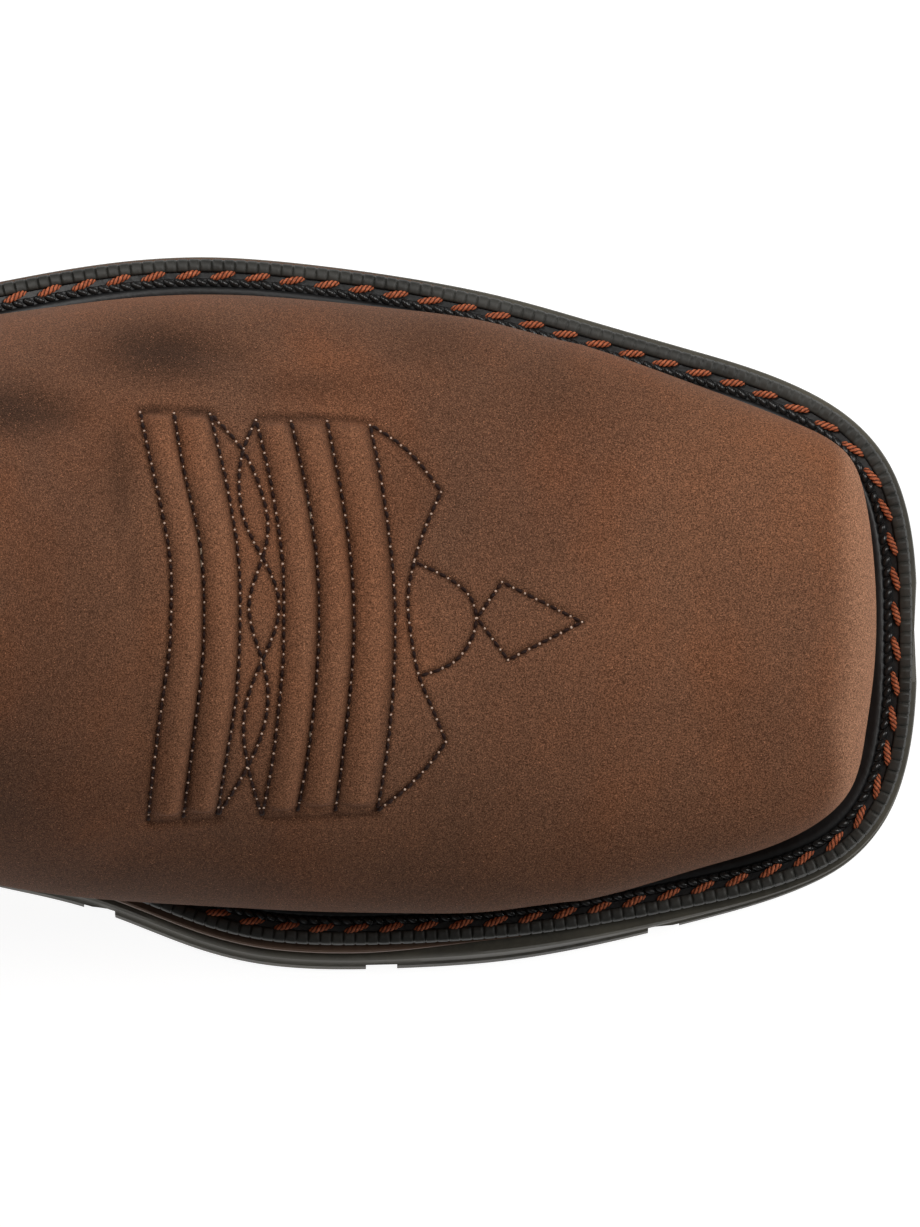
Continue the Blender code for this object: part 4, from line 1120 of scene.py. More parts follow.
def webbing_look():
    look = Look("strap_webbing_look", Specular_IOR_Level=0.25, Sheen_Weight=0.25)
    weave = look.product(look.wave(420.0, "X", 0.4), look.wave(420.0, "Z", 0.4))
    fuzz = look.noise(1800.0, detail=2.0)
    tone = look.ramp(weave, [(0.10, (0.010, 0.008, 0.006)), (0.75, (0.075, 0.055, 0.040))])
    look.colour(look.fade(fuzz, 0.25, tone, (0.10, 0.075, 0.055)))
    look.roughness(fuzz, 0.70, 0.90)
    look.bump([(weave, 0.0006, 0.8), (fuzz, 0.0002, 0.4)])
    return look.material


def fabric_look(name, dark, light, pitch):
    look = Look(name, Specular_IOR_Level=0.20, Sheen_Weight=0.30)
    knots = look.cells(1.0 / pitch, randomness=0.35)
    fuzz = look.noise(1400.0, detail=3.0)
    wear = look.noise(30.0, detail=3.0)
    tone = look.ramp(knots, [(0.05, light), (0.55, dark)])
    look.colour(look.fade(wear, 0.4, tone, dark))
    look.roughness(fuzz, 0.80, 0.95)
    look.bump([(knots, 0.0005, 0.5), (fuzz, 0.0002, 0.5)])
    return look.material


def make_looks():
    return {
        "vamp": leather_look("vamp_leather_look", (0.200, 0.090, 0.048), (0.158, 0.072, 0.040),
                             (0.108, 0.049, 0.028), masks=True),
        "shaft": leather_look("shaft_leather_look", (0.152, 0.068, 0.037),
                              (0.120, 0.054, 0.030), (0.082, 0.037, 0.021)),
        "trim": leather_look("trim_leather_look", (0.062, 0.030, 0.018),
                             (0.045, 0.022, 0.013), (0.028, 0.014, 0.009)),
        "lining": fabric_look("lining_look", (0.16, 0.12, 0.085), (0.30, 0.24, 0.17), 0.0011),
        "footbed": fabric_look("footbed_look", (0.035, 0.032, 0.030), (0.11, 0.10, 0.09), 0.0014),
        "sole": rubber_look("sole_rubber_look", (0.038, 0.034, 0.026), 0.66,
                            (0.100, 0.090, 0.066)),
        "midsole": rubber_look("midsole_look", (0.088, 0.045, 0.025), 0.66, (0.128, 0.070, 0.041)),
        "welt": rubber_look("welt_look", (0.018, 0.018, 0.016), 0.52, (0.052, 0.051, 0.045)),
        # The channel's rubber is darker than the welt's: painted shade in the stitch groove.
        "channel": rubber_look("channel_look", (0.006, 0.006, 0.006), 0.42, (0.016, 0.016, 0.017)),
        "bead": rubber_look("bead_look", (0.009, 0.009, 0.009), 0.26, (0.020, 0.020, 0.020)),
        "rust": thread_look("rust_thread_look", (0.300, 0.066, 0.026), (0.800, 0.250, 0.115),
                            crevice=True),
        "brown_thread": thread_look("brown_thread_look", (0.010, 0.0035, 0.0022),
                                    (0.034, 0.0100, 0.0055)),
        # Pale dots, one at each stitch hole of the vamp.
        "pale_stitch_dot": thread_look("pale_stitch_dot_look", (0.42, 0.28, 0.21), (0.80, 0.60, 0.48)),
        "webbing": webbing_look(),
    }


# Leather forms


def form_field(form, side, u_values, t_values):
    return np.array([form.half(side, u, t_values) for u in u_values])


def crossing(values, params):
    """First parameter at which values rise through zero, by straight interpolation."""
    above = values >= 0.0
    if not above.any():
        return params[-1]
    k = int(np.argmax(above))
    if k == 0:
        return params[0]
    share = values[k - 1] / (values[k - 1] - values[k])
    return params[k - 1] + share * (params[k] - params[k - 1])


def last_crossing(values, params):
    """Last parameter at which values rise through zero."""
    return -crossing(np.where(values[::-1] < 0.0, 1.0, -1.0), -params[::-1])


CUT_SPREAD = 0.018


def cut_line(over, params, t_values):
    """Where each column leaves the piece, eased where the cut runs along the columns."""
    ends = [0.5 * (crossing(over[:, j], params) + last_crossing(over[:, j], params))
            for j in range(len(t_values))]
    even = np.linspace(-0.2, 1.2, 701)
    mirrored = np.abs(1.0 - np.abs(1.0 - even))
    spaced = np.interp(mirrored, t_values, ends)
    reach = np.arange(-40, 41) * (even[1] - even[0])
    weight = np.exp(-0.5 * (reach / CUT_SPREAD) ** 2)
    eased = np.convolve(spaced, weight / weight.sum(), mode="same")
    return np.interp(t_values, even, eased)


def read_columns(field, params, at):
    """Reads a field (rows, columns, 3) at its own row parameter for each column."""
    made = np.empty((len(at), field.shape[1], 3))
    for j in range(field.shape[1]):
        for k in range(3):
            made[:, j, k] = np.interp(at[:, j], params, field[:, j, k])
    return made


Fold = namedtuple("Fold", "x z x_to z_to width depth side")
FOLD_TABLE = [
    Fold(0.050, 0.112, 0.118, 0.132, 0.008, 0.0013, 0),
    Fold(0.030, 0.135, 0.104, 0.158, 0.009, 0.0012, 0),
    Fold(0.052, 0.108, 0.122, 0.128, 0.008, 0.0012, 1),
    Fold(0.034, 0.140, 0.100, 0.156, 0.009, 0.0011, 1),
    Fold(0.060, 0.186, 0.124, 0.176, 0.010, 0.0009, 0),
    Fold(0.020, 0.190, 0.080, 0.204, 0.010, 0.0008, 1),
    Fold(0.098, 0.092, 0.138, 0.118, 0.007, 0.0010, 0),
    Fold(0.096, 0.090, 0.136, 0.116, 0.007, 0.0010, 1),
]


def fold_depth(points):
    """How far soft folds at the ankle push the leather in."""
    depth = np.zeros(points.shape[:-1])
    for fold in FOLD_TABLE:
        a = np.array([fold.x, fold.z])
        run = np.array([fold.x_to, fold.z_to]) - a
        flat = points[..., [0, 2]] - a
        share = np.clip((flat @ run) / (run @ run), 0.0, 1.0)
        gap = np.linalg.norm(flat - share[..., None] * run, axis=-1)
        reach = smoothstep(share / 0.35) * smoothstep((1.0 - share) / 0.35)
        facing = smoothstep(SIDE_SIGN[fold.side] * points[..., 1] / 0.020)
        shape = np.exp(-((gap / fold.width) ** 2)) - 0.35 * np.exp(-((gap / (2 * fold.width)) ** 2))
        depth += fold.depth * reach * facing * shape
    return depth


def row_px(row, py):
    rows = np.array(STITCH_ROWS[row], float)
    return spline(rows[:, 1], rows[:, :1], py.ravel())[:, 0].reshape(py.shape)


def corded_height(px, py):
    """Raised cords between the stitched rows, and a mask for painted shade on their toe-side
    flanks.
    """
    height = np.zeros(px.shape)
    flank_shade_mask = np.zeros(px.shape)
    for row in CORDED_AFTER_ROW:
        low, high = row_px(row, py), row_px(row + 1, py)
        share = np.clip((px - low) / (high - low), 0.0, 1.0)
        first = STITCH_ROWS[row][0][1] + 2.0
        last = STITCH_ROWS[row][-1][1] - 5.0
        ends = smoothstep((py - first) / 11.0) * smoothstep((last - py) / 11.0)
        height = np.maximum(height, np.sin(math.pi * share) ** 1.1 * ends)
        # Painted shade on each cord's toe-side flank.
        flank_shade_mask = np.maximum(flank_shade_mask, smoothstep((share - 0.55) / 0.35) * (share < 1.0) * ends)
    return height, flank_shade_mask


def stitch_paths():
    """Every stitched line of the vamp as dense photo pixels."""
    paths = [smooth_path(row, 420) for row in STITCH_ROWS + BRAIDS]
    paths += [smooth_path(line, 200) for line in BOW]
    for a, b in zip(KITE, KITE[1:]):
        paths.append(np.linspace(a, b, 60))
    return paths


def path_distance(px, py, paths):
    """Distance in pixels from each point to the nearest dense path, far ones as 99."""
    count = sum(len(path) for path in paths)
    tree = KDTree(count)
    k = 0
    for path in paths:
        for x, y in path:
            tree.insert((x, y, 0.0), k)
            k += 1
    tree.balance()
    flat_x, flat_y = px.ravel(), py.ravel()
    gaps = np.full(flat_x.shape, 99.0)
    inside = np.where((flat_x > 100) & (flat_x < 620) & (flat_y > 380) & (flat_y < 860))[0]
    for k in inside:
        gaps[k] = tree.find((flat_x[k], flat_y[k], 0.0))[2]
    return gaps.reshape(px.shape)


def crease_depth(px, py):
    depth = np.zeros(px.shape)
    for crease in CREASES:
        path = smooth_path(crease.points, 60)
        flat = np.stack([px.ravel(), py.ravel()], axis=1)
        low = path.min(axis=0) - 3 * crease.width
        high = path.max(axis=0) + 3 * crease.width
        near = np.where(((flat > low) & (flat < high)).all(axis=1))[0]
        if not len(near):
            continue
        gaps = np.linalg.norm(flat[near][:, None, :] - path[None], axis=2)
        best = gaps.argmin(axis=1)
        gap = gaps.min(axis=1)
        share = best / (len(path) - 1)
        ends = smoothstep(share / 0.25) * smoothstep((1.0 - share) / 0.25)
        flat_depth = depth.ravel()
        flat_depth[near] += crease.depth * ends * np.exp(-((gap / crease.width) ** 2))
        depth = flat_depth.reshape(px.shape)
    return depth


# Darkness of the vamp's patches: real mottling and painted shade together.
def shade_and_mottle_mask(px, py):
    dark = np.zeros(px.shape)
    for shade_and_mottle in SHADE_AND_MOTTLE_PATCHES:
        away = ((px - shade_and_mottle.px) / shade_and_mottle.wide) ** 2 + ((py - shade_and_mottle.py) / shade_and_mottle.tall) ** 2
        dark = np.maximum(dark, shade_and_mottle.dark * np.exp(-away))
    return dark


def vamp_columns(form):
    """Column parameters of the upper: fine over the stitched field, coarser beyond."""
    t = np.linspace(0.0, 1.0, 4000)
    section = form.half(LATERAL, 0.16, t)
    length = chord_params(section[::-1])
    fine_to, fine, coarse = 0.047, 0.00044, 0.0015
    fine_at = np.arange(0.0, fine_to, fine)
    rest = max(4, int((length[-1] - fine_to) / coarse))
    at = np.concatenate([fine_at, np.linspace(fine_to, length[-1], rest)])
    params = np.interp(at, length, t[::-1])
    params[0], params[-1] = 1.0, 0.0
    return params[::-1]


def join_halves(halves, closed_row=0, wrap_first_row=False):
    """Both halves as one grid, closed at the back from a row on, and its normals."""
    grid = np.concatenate([halves[LATERAL], halves[MEDIAL][:, -2::-1]], axis=1)
    back = grid[closed_row:]
    back[:, 0] = back[:, -1] = 0.5 * (back[:, 0] + back[:, -1])
    normals = -grid_normals(grid, wrap_first_row)
    joint = normals[closed_row:, 0] + normals[closed_row:, -1]
    joint /= np.linalg.norm(joint, axis=1)[:, None]
    normals[closed_row:, 0] = normals[closed_row:, -1] = joint
    return grid, normals


def upper_halves(form, t_values):
    """Both halves from the toe up to the vamp line, and the row from which the back closes."""
    dense_u = np.linspace(0.0, 1.0, 900)
    fields = [form_field(form, side, dense_u, t_values) for side in (LATERAL, MEDIAL)]
    line = side_line(VAMP_LINE)
    ridge_x = fields[LATERAL][:, -1, 0]
    fine_to_x, fine, top_rows = 0.1735, 0.00044, 78
    fine_x = np.arange(ridge_x[0], fine_to_x, -fine)
    foot_part = slice(0, int(np.argmin(ridge_x[: len(ridge_x) * 6 // 10])))
    fine_u = np.interp(-fine_x, -ridge_x[foot_part], dense_u[foot_part])
    common_to = fine_u[-1]
    start = int(np.searchsorted(dense_u, common_to))
    shares = np.linspace(0.0, 1.0, top_rows + 1)[1:]
    toe_u = -np.linspace(1.0, 0.0, 64, endpoint=False)
    halves = []
    for side, field in zip((LATERAL, MEDIAL), fields):
        toe = form_field(form, side, toe_u, t_values)
        ends = cut_line(above_line(field, line)[start:], dense_u[start:], t_values)
        upward = common_to + shares[:, None] * (ends - common_to)[None]
        at = np.vstack([np.repeat(fine_u[:, None], len(t_values), axis=1), upward])
        halves.append(np.vstack([toe, read_columns(field, dense_u, at)]))
    return halves, len(toe_u) + int(np.argmax(at[:, 0] >= form.closed_u))


def make_upper(form, looks):
    """The vamp and quarters in one, with their cords, creases and folds."""
    halves, closed_row = upper_halves(form, vamp_columns(form))
    grid, normals = join_halves(halves, closed_row, wrap_first_row=True)
    px, py = to_pixels(grid)
    gaps = path_distance(px, py, stitch_paths())
    dips = path_distance(px, py, [smooth_path(line, 80) for line in CORD_ENDS])
    dips = np.exp(-((dips / 3.5) ** 2))
    cords, flank_shade_masks = corded_height(px, py)
    # Painted shade in the stitch grooves and in the dips at the cord ends.
    seam = np.maximum(np.exp(-((gaps / 3.0) ** 2)), 0.55 * dips)
    over_vamp = grid[..., 0] > 0.150
    relief = RIDGE_HEIGHT * cords - ROW_GROOVE * np.exp(-((gaps / 4.0) ** 2))
    relief = relief - crease_depth(px, py) - END_DIP * dips
    relief = np.where(over_vamp & (normals[..., 2] > 0.05), relief, 0.0)
    relief = relief - np.where(grid[..., 0] < 0.16, fold_depth(grid), 0.0)
    outer = grid + normals * relief[..., None]
    # Mask for the toe front: rubbed lighter leather, with a painted highlight on the faces turned
    # to the toe.
    edge = smoothstep((normals[..., 0] - 0.50) / 0.35) * smoothstep((grid[..., 0] - 0.270) / 0.02)
    masks = {
        # Patches of mottling and painted shade, and painted shade on the cords' toe-side flanks.
        "shade_and_mottle": np.where(over_vamp, np.maximum(shade_and_mottle_mask(px, py), FLANK_SHADE * flank_shade_masks), 0.0),
        # Painted shade along the stitch grooves and at the cord ends.
        "seam": np.where(over_vamp, seam, 0.0),
        # Cord height, for a painted highlight on the cord tops.
        "crown": cords * over_vamp,
        "edge": edge,
    }
    shell("upper_leather", outer, normals, VAMP_THICKNESS, [looks["vamp"], looks["lining"]],
          "upper", 8, 8, open_rows=closed_row, seam_rows=(closed_row,),
          masks=masks, ends=(False, True))
    return outer, normals


def shaft_face():
    return -(VAMP_THICKNESS + GAP)


def make_shaft(form, looks):
    t_values = np.union1d(np.linspace(0.0, 1.0, 61), np.linspace(0.20, 0.50, 55)).round(5)
    dense_u = np.linspace(SHAFT_FROM, 1.0, 700)
    line = side_line(VAMP_LINE, lower=LAP)
    rows = 110
    halves = []
    for side in (LATERAL, MEDIAL):
        field = form_field(form, side, dense_u, t_values)
        above = field[:, :, 2] - collar_line(field[:, :, 0])
        low = cut_line(above_line(field, line), dense_u, t_values)
        high = np.array([crossing(above[:, j], dense_u) for j in range(len(t_values))])
        at = low + np.linspace(0.0, 1.0, rows)[:, None] * (high - low)
        halves.append(read_columns(field, dense_u, at))
    grid, normals = join_halves(halves)
    outer = grid + normals * (shaft_face() - fold_depth(grid))[..., None]
    shell("shaft_leather", outer, normals, SHAFT_THICKNESS, [looks["shaft"], looks["lining"]],
          "shaft", 3, 2, sides_open=False)


def counter_halves(form):
    """Both halves of the heel overlay, between its seat over the welt and its curved top
    line, with their normals and the row from which they join at the back."""
    line = side_line(COUNTER_LINE)
    t_dense = np.linspace(0.0, 1.0, 900)
    columns = np.linspace(0.0, 1.0, 34)
    kept, halves = [], ([], [])
    for u in np.linspace(0.20, 0.72, 420):
        pair = []
        for side in (LATERAL, MEDIAL):
            points = form.half(side, u, t_dense)
            outside = np.where(points[:, 0] > line[-1, 0], 1.0, above_line(points, line))
            lift = points[:, 2] - feather(points[:, 0]) - COUNTER_LIFT
            low = 0.0 if u >= form.closed_u else crossing(lift, t_dense)
            pair.append((points, low, crossing(outside, t_dense)))
        if min(high - low for _, low, high in pair) < 0.004:
            continue
        kept.append(u)
        for half, (points, low, high) in zip(halves, pair):
            half.append(read_at(low + columns * (high - low), t_dense, points))
    pick = np.unique(np.round(np.linspace(0, len(kept) - 1, 150)).astype(int))
    closed = int(np.argmax(np.array(kept)[pick] >= form.closed_u))
    lateral, medial = (np.array(half)[pick] for half in halves)
    made = [side_normals(lateral, LATERAL), side_normals(medial, MEDIAL)]
    for row in range(closed, len(pick)):
        joint = made[LATERAL][row, 0] + made[MEDIAL][row, 0]
        joint[1] = 0.0
        joint /= np.linalg.norm(joint)
        made[LATERAL][row, 0] = made[MEDIAL][row, 0] = joint
        lateral[row, 0] = medial[row, 0] = 0.5 * (lateral[row, 0] + medial[row, 0])
    return closed, (lateral, medial), made


def make_counter(form, looks):
    """The heel overlay as one piece. Gives the lines and normals for its stitches."""
    closed, halves, made = counter_halves(form)
    rows, cols = halves[LATERAL].shape[:2]
    points, faces, index = [], [], {}

    def corner(side, row, col, layer):
        if row >= closed and col == 0:
            side = LATERAL
        key = (side, row, col, layer)
        if key not in index:
            off = GAP + (COUNTER_THICKNESS if layer else 0.0)
            off -= float(fold_depth(halves[side][row, col]))
            index[key] = len(points)
            points.append(halves[side][row, col] + made[side][row, col] * off)
        return index[key]

    def quad(side, *spots):
        faces.append(tuple(corner(side, *spot) for spot in spots))

    for side in (LATERAL, MEDIAL):
        for a in range(rows - 1):
            n = a + 1
            for b in range(cols - 1):
                for layer in (0, 1):
                    quad(side, (a, b, layer), (a, b + 1, layer), (n, b + 1, layer), (n, b, layer))
            quad(side, (a, cols - 1, 0), (a, cols - 1, 1), (n, cols - 1, 1), (n, cols - 1, 0))
            if a < closed:
                quad(side, (a, 0, 0), (a, 0, 1), (n, 0, 1), (n, 0, 0))
        for row in (0, rows - 1):
            for b in range(cols - 1):
                quad(side, (row, b, 0), (row, b, 1), (row, b + 1, 1), (row, b + 1, 0))
    face_outward(make_piece("counter_leather", np.array(points), faces, [looks["vamp"]],
                            sharp=SHEET_SHARP, node="counter"))
    edges, ups = [], []
    for half, normals in zip(halves, made):
        line, up = half[:, -3], normals[:, -3]
        edges.append(line + up * (GAP + COUNTER_THICKNESS - fold_depth(line))[:, None])
        ups.append(up)
    return edges, ups


# Threads


def resample(points, normals, pitch):
    """Points and unit normals along a path, in even steps for a whole number of stitches."""
    length = chord_params(points)
    stitches = max(1, int(round(length[-1] / pitch)))
    at = np.linspace(0.0, length[-1], stitches * STITCH_STEPS + 1)
    ups = read_at(at, length, normals)
    return read_at(at, length, points), ups / np.linalg.norm(ups, axis=1)[:, None]


def sew(batch, points, normals, pitch, radius, dots=None):
    """Lays stitches along a path on a surface. With a look for dots, one fills each hole."""
    spots, ups = resample(points, normals, pitch)
    rings, sides = STITCH_STEPS - 2, 6
    faces = tube_faces(rings, sides)
    angles = np.arange(sides) * 2 * math.pi / sides
    share = np.linspace(STITCH_GAP, 1.0 - STITCH_GAP, rings)
    local = (share - STITCH_GAP) / (1.0 - 2 * STITCH_GAP)
    arch = np.clip(np.sin(math.pi * local), 0.0, 1.0)
    size = radius * (0.55 + 0.45 * arch**0.5)
    lift = radius * (STITCH_LIFT * arch - 0.55 * (1.0 - arch))
    steps = np.arange(STITCH_STEPS + 1)
    for k in range(0, len(spots) - 1, STITCH_STEPS):
        part, up = spots[k : k + STITCH_STEPS + 1], ups[k : k + STITCH_STEPS + 1]
        upward = read_at(share * STITCH_STEPS, steps, up)
        centre = read_at(share * STITCH_STEPS, steps, part) + upward * lift[:, None]
        run = part[-1] - part[0]
        run /= np.linalg.norm(run)
        aside = np.cross(run, upward)
        aside /= np.linalg.norm(aside, axis=1)[:, None]
        made = []
        for c, n, b, r in zip(centre, upward, aside, size):
            for angle in angles:
                made.append(c + r * (math.cos(angle) * n + math.sin(angle) * b))
        made.append(centre[0] - run * radius * 0.5 - upward[0] * radius * 0.4)
        made.append(centre[-1] + run * radius * 0.5 - upward[-1] * radius * 0.4)
        batch.add(made, faces)
        if dots is not None:
            add_dot(batch, part[0], up[0], run, radius * 0.80, dots)


def add_dot(batch, at, up, run, radius, look):
    ball, faces = ball_form(3, 6)
    aside = np.cross(run, up)
    aside /= np.linalg.norm(aside)
    ahead = np.cross(up, aside)
    placed = ball[:, 1:2] * ahead * radius * 0.9 + ball[:, 2:] * aside * radius
    placed = placed + ball[:, :1] * up * radius * 0.55 + at - up * radius * 0.15
    batch.add(placed, faces, look)


def pixel_path_on(tree, path):
    """Points and normals where the photo's path meets the leather."""
    points, normals = [], []
    for px, py in path:
        ray = pixel_ray(px, py)
        hit, normal, _, _ = tree.ray_cast(Vector(CAMERA_AT), Vector(ray), 4.0)
        if hit is None:
            continue
        normal = np.array(normal)
        if normal[2] < 0:
            normal = -normal
        points.append(np.array(hit))
        normals.append(normal)
    return np.array(points), np.array(normals)


def make_vamp_stitches(outer, looks):
    faces = sheet_faces(*outer.shape[:2])
    tree = BVHTree.FromPolygons(outer.reshape(-1, 3).tolist(), faces)
    batch = Batch()
    for path in stitch_paths():
        points, normals = pixel_path_on(tree, path)
        sew(batch, points, normals, VAMP_STITCH_PITCH, VAMP_THREAD_RADIUS, dots=1)
    batch.make("vamp_stitches", [looks["brown_thread"], looks["pale_stitch_dot"]])


# Welt


def outline_part(edge, keep):
    """The run of a closed outline that keep(x) selects, in order."""
    picked = np.where(keep(edge[:, 0]))[0]
    jumps = np.where(np.diff(picked) > 1)[0]
    if len(jumps):
        picked = np.concatenate([picked[jumps[0] + 1 :], picked[: jumps[0] + 1]])
    return picked


def welt_profile(rib):
    """Section of the strip as (inwards, up from its underside); rib is 1 on a rib's top."""
    top = WELT_THICKNESS
    fall = 0.00042 * (1.0 - rib)
    pull = 0.00018 * (1.0 - rib)
    return [
        (0.0001 + 0.3 * pull, 0.0),
        (pull, 0.0007),
        (pull, top - 0.0006 - fall),
        (0.00035 + pull, top - 0.00005 - fall),
        (RIB_TO - 0.00030, top + 0.00005 - fall),
        (RIB_TO, top - 0.00020 - fall),
        (RIB_TO + 0.00015, top - 0.00095),
        (CHANNEL_TO - 0.00015, top - 0.00095),
        (CHANNEL_TO, top - 0.00045),
        (LIP_FROM - 0.00010, top - 0.00045),
        (LIP_FROM + 0.00010, top + 0.00015),
        (LIP_FROM + 0.00045, top + 0.00035),
        (LIP_TO - 0.00010, top + 0.00030),
        (LIP_TO + 0.00030, top + 0.00010),
        (WELT_WIDTH, top),
        (WELT_WIDTH, 0.0),
    ]


def welt_strip(name, edge, picked, looks, node):
    curve, inward = edge[picked], curve_normals(edge)[picked]
    length = chord_params(curve)
    step = RIB_PITCH / 8
    count = int(length[-1] / step)
    at = np.linspace(0.0, length[-1], count)
    xy, inn = read_at(at, length, curve), read_at(at, length, inward)
    rib = smoothstep(2.4 * np.abs(np.sin(math.pi * at / RIB_PITCH)))
    profile = np.array([welt_profile(value) for value in rib])
    sides = profile.shape[1]
    place = xy[:, None, :] + inn[:, None, :] * profile[:, :, :1]
    z = welt_bottom(place[..., 0]) + profile[:, :, 1]
    points = np.concatenate([place, z[..., None]], axis=2).reshape(-1, 3)
    # The groove's faces take the darker channel rubber, as painted shade.
    zones = [int(CHANNEL_SIDES[0] <= a < CHANNEL_SIDES[1]) for a in range(sides)]
    face_outward(make_piece(name, points, capped_faces(count, sides),
                            [looks["welt"], looks["channel"]],
                            slots_of_faces=zones * (count - 1) + [0, 0], sharp=WELT_SHARP,
                            node=node))


def welt_walk(edge, picked, inwards, pitch):
    """Stations along the strip: points on its line at a distance in, and tangents."""
    curve, inward = edge[picked], curve_normals(edge)[picked]
    line = curve + inward * inwards
    length = chord_params(line)
    count = int(length[-1] / pitch)
    at = (np.arange(count) + 0.5) * length[-1] / count
    xy, inn = read_at(at, length, line), read_at(at, length, inward)
    inn /= np.linalg.norm(inn, axis=1)[:, None]
    along = np.stack([-inn[:, 1], inn[:, 0]], axis=1)
    return xy, inn, along


def make_beads(edge, picked, looks):
    batch = Batch()
    ball, faces = ball_form(5, 8)
    for xy, inn, along in zip(*welt_walk(edge, picked, BEAD_LINE, BEAD_PITCH)):
        z = float(welt_bottom(xy[0])) + WELT_THICKNESS - BEAD_SINK
        lean = along + BEAD_LEAN * inn
        placed = np.zeros((len(ball), 3))
        placed[:, :2] = xy + ball[:, :1] * BEAD_SIZE[0] * lean + ball[:, 1:2] * BEAD_SIZE[1] * inn
        placed[:, 2] = z + ball[:, 2] * BEAD_SIZE[2]
        batch.add(placed, faces)
    batch.make("welt_beads", [looks["bead"]])


def make_welt_stitches(edge, picked, looks):
    """Twisted three-ply stitches in the channel of the welt."""
    batch = Batch()
    rings, sides = 34, 15
    faces = tube_faces(rings, sides)
    share = np.linspace(0.0, 1.0, rings)
    arch = np.sin(math.pi * share) ** 0.45
    angles = np.arange(sides) * 2 * math.pi / sides
    middle = 0.5 * (RIB_TO + CHANNEL_TO)
    lean = math.tan(WELT_STITCH_LEAN)
    for xy, inn, along in zip(*welt_walk(edge, picked, middle, WELT_STITCH_PITCH)):
        run = along - lean * inn
        run /= np.linalg.norm(run)
        aside = np.array([-run[1], run[0]])
        centre_xy = xy + np.outer((share - 0.5) * WELT_STITCH_LENGTH, run)
        base = welt_bottom(centre_xy[:, 0]) + WELT_THICKNESS
        z = base - WELT_STITCH_SINK + WELT_STITCH_SINK * arch
        made, crevice = [], []
        for k in range(rings):
            wave = np.cos(3 * (angles - 2 * math.pi * TWIST_TURNS * share[k]))
            strands = 1.0 + STRAND_DEPTH * wave
            # Where the strands part: a mask for painted shade in the crevices.
            crevice.append(smoothstep((-wave - 0.05) / 0.8))
            r = WELT_THREAD_RADIUS * (0.30 + 0.70 * arch[k]) * strands
            side = r * np.sin(angles)
            up = r * np.cos(angles) * 0.85
            ring = np.empty((sides, 3))
            ring[:, 0] = centre_xy[k, 0] + side * aside[0]
            ring[:, 1] = centre_xy[k, 1] + side * aside[1]
            ring[:, 2] = z[k] + up
            made.append(ring)
        tips = np.array([[*centre_xy[0], z[0]], [*centre_xy[-1], z[-1]]])
        batch.add(np.vstack(made + [tips]), faces, crevice=np.concatenate(crevice + [[1.0, 1.0]]))
    batch.make("welt_stitches", [looks["rust"]])


# Sole


def make_outsole(looks):
    outline = sole_outline()
    levels = [(flare_inset(outline, base, flare), height) for base, flare, height in (
        (0.0005, 0.0, outsole_bottom),
        (0.0, 0.02, lambda x: outsole_bottom(x) + 0.0005),
        (0.0001, 0.12, lambda x: rise(x) + LUG_DEPTH - 0.0002),
        (0.0005, 0.14, lambda x: rise(x) + LUG_DEPTH + 0.0002),
        (0.0005, 0.38, lambda x: outsole_top(x) - 0.0016),
        (0.0002, 0.42, lambda x: outsole_top(x) - 0.0012),
        (0.0004, 0.50, lambda x: outsole_top(x) - 0.0003),
        (OUTSOLE_TOP_INSET + 0.0003, 0.5, outsole_top),
    )]
    sole = loaf("outsole_rubber", outline, levels, 300, [looks["sole"]],
                node="outsole")
    boxes = []
    height, reach = 0.020, 0.5 * BALL_WIDTH

    def level(x):
        return float(rise(x)) + LUG_DEPTH - 0.5 * height

    for side, start, pitch in ((LATERAL, LATERAL_GROOVE_AT, LATERAL_PITCH),
                               (MEDIAL, MEDIAL_GROOVE_AT, MEDIAL_PITCH)):
        for k in range(int((LUGS_TO - start) / pitch) + 1):
            x = start + k * pitch
            y = SIDE_SIGN[side] * (EDGE_GROOVE_INNER + 0.5 * reach)
            boxes.append(((x, y, level(x)), (GROOVE_WIDTH, reach, height), 0.0))
    for k in range(int((LUGS_TO - CENTRE_GROOVE_AT) / CENTRE_PITCH) + 1):
        x = CENTRE_GROOVE_AT + k * CENTRE_PITCH
        lean = math.radians(18.0) * (1 if k % 2 else -1)
        boxes.append(((x, 0.0, level(x)), (GROOVE_WIDTH, 2 * CENTRE_HALF_WIDTH, height), lean))
    carve(sole, boxes)


def make_midsole(looks):
    outline = sole_outline()
    inset = flare_inset(outline, MIDSOLE_INSET, 0.7)
    share_of_wrap = 0.86
    end = WRAP_FROM + share_of_wrap * (WRAP_TO - WRAP_FROM)
    fade = smoothstep((outline[:, 0] - WRAP_FROM) / (end - WRAP_FROM))
    inset = inset + fade * (flare_inset(outline, WELT_INSET, 1.0) - inset)

    def below_top(x):
        return midsole_top(x) - 0.0003 * (midsole_top(x) - outsole_top(x)) / MIDSOLE_THICKNESS

    levels = [
        (inset + 0.0002, lambda x: outsole_top(x) + GAP),
        (inset, lambda x: np.minimum(outsole_top(x) + GAP + 0.0004, midsole_top(x))),
        (inset - 0.0001, lambda x: 0.5 * (outsole_top(x) + midsole_top(x))),
        (inset, below_top),
        (inset + 0.0003, midsole_top),
    ]
    loaf("midsole_rubber", outline, levels, 160, [looks["midsole"]],
         node="midsole", end=end)


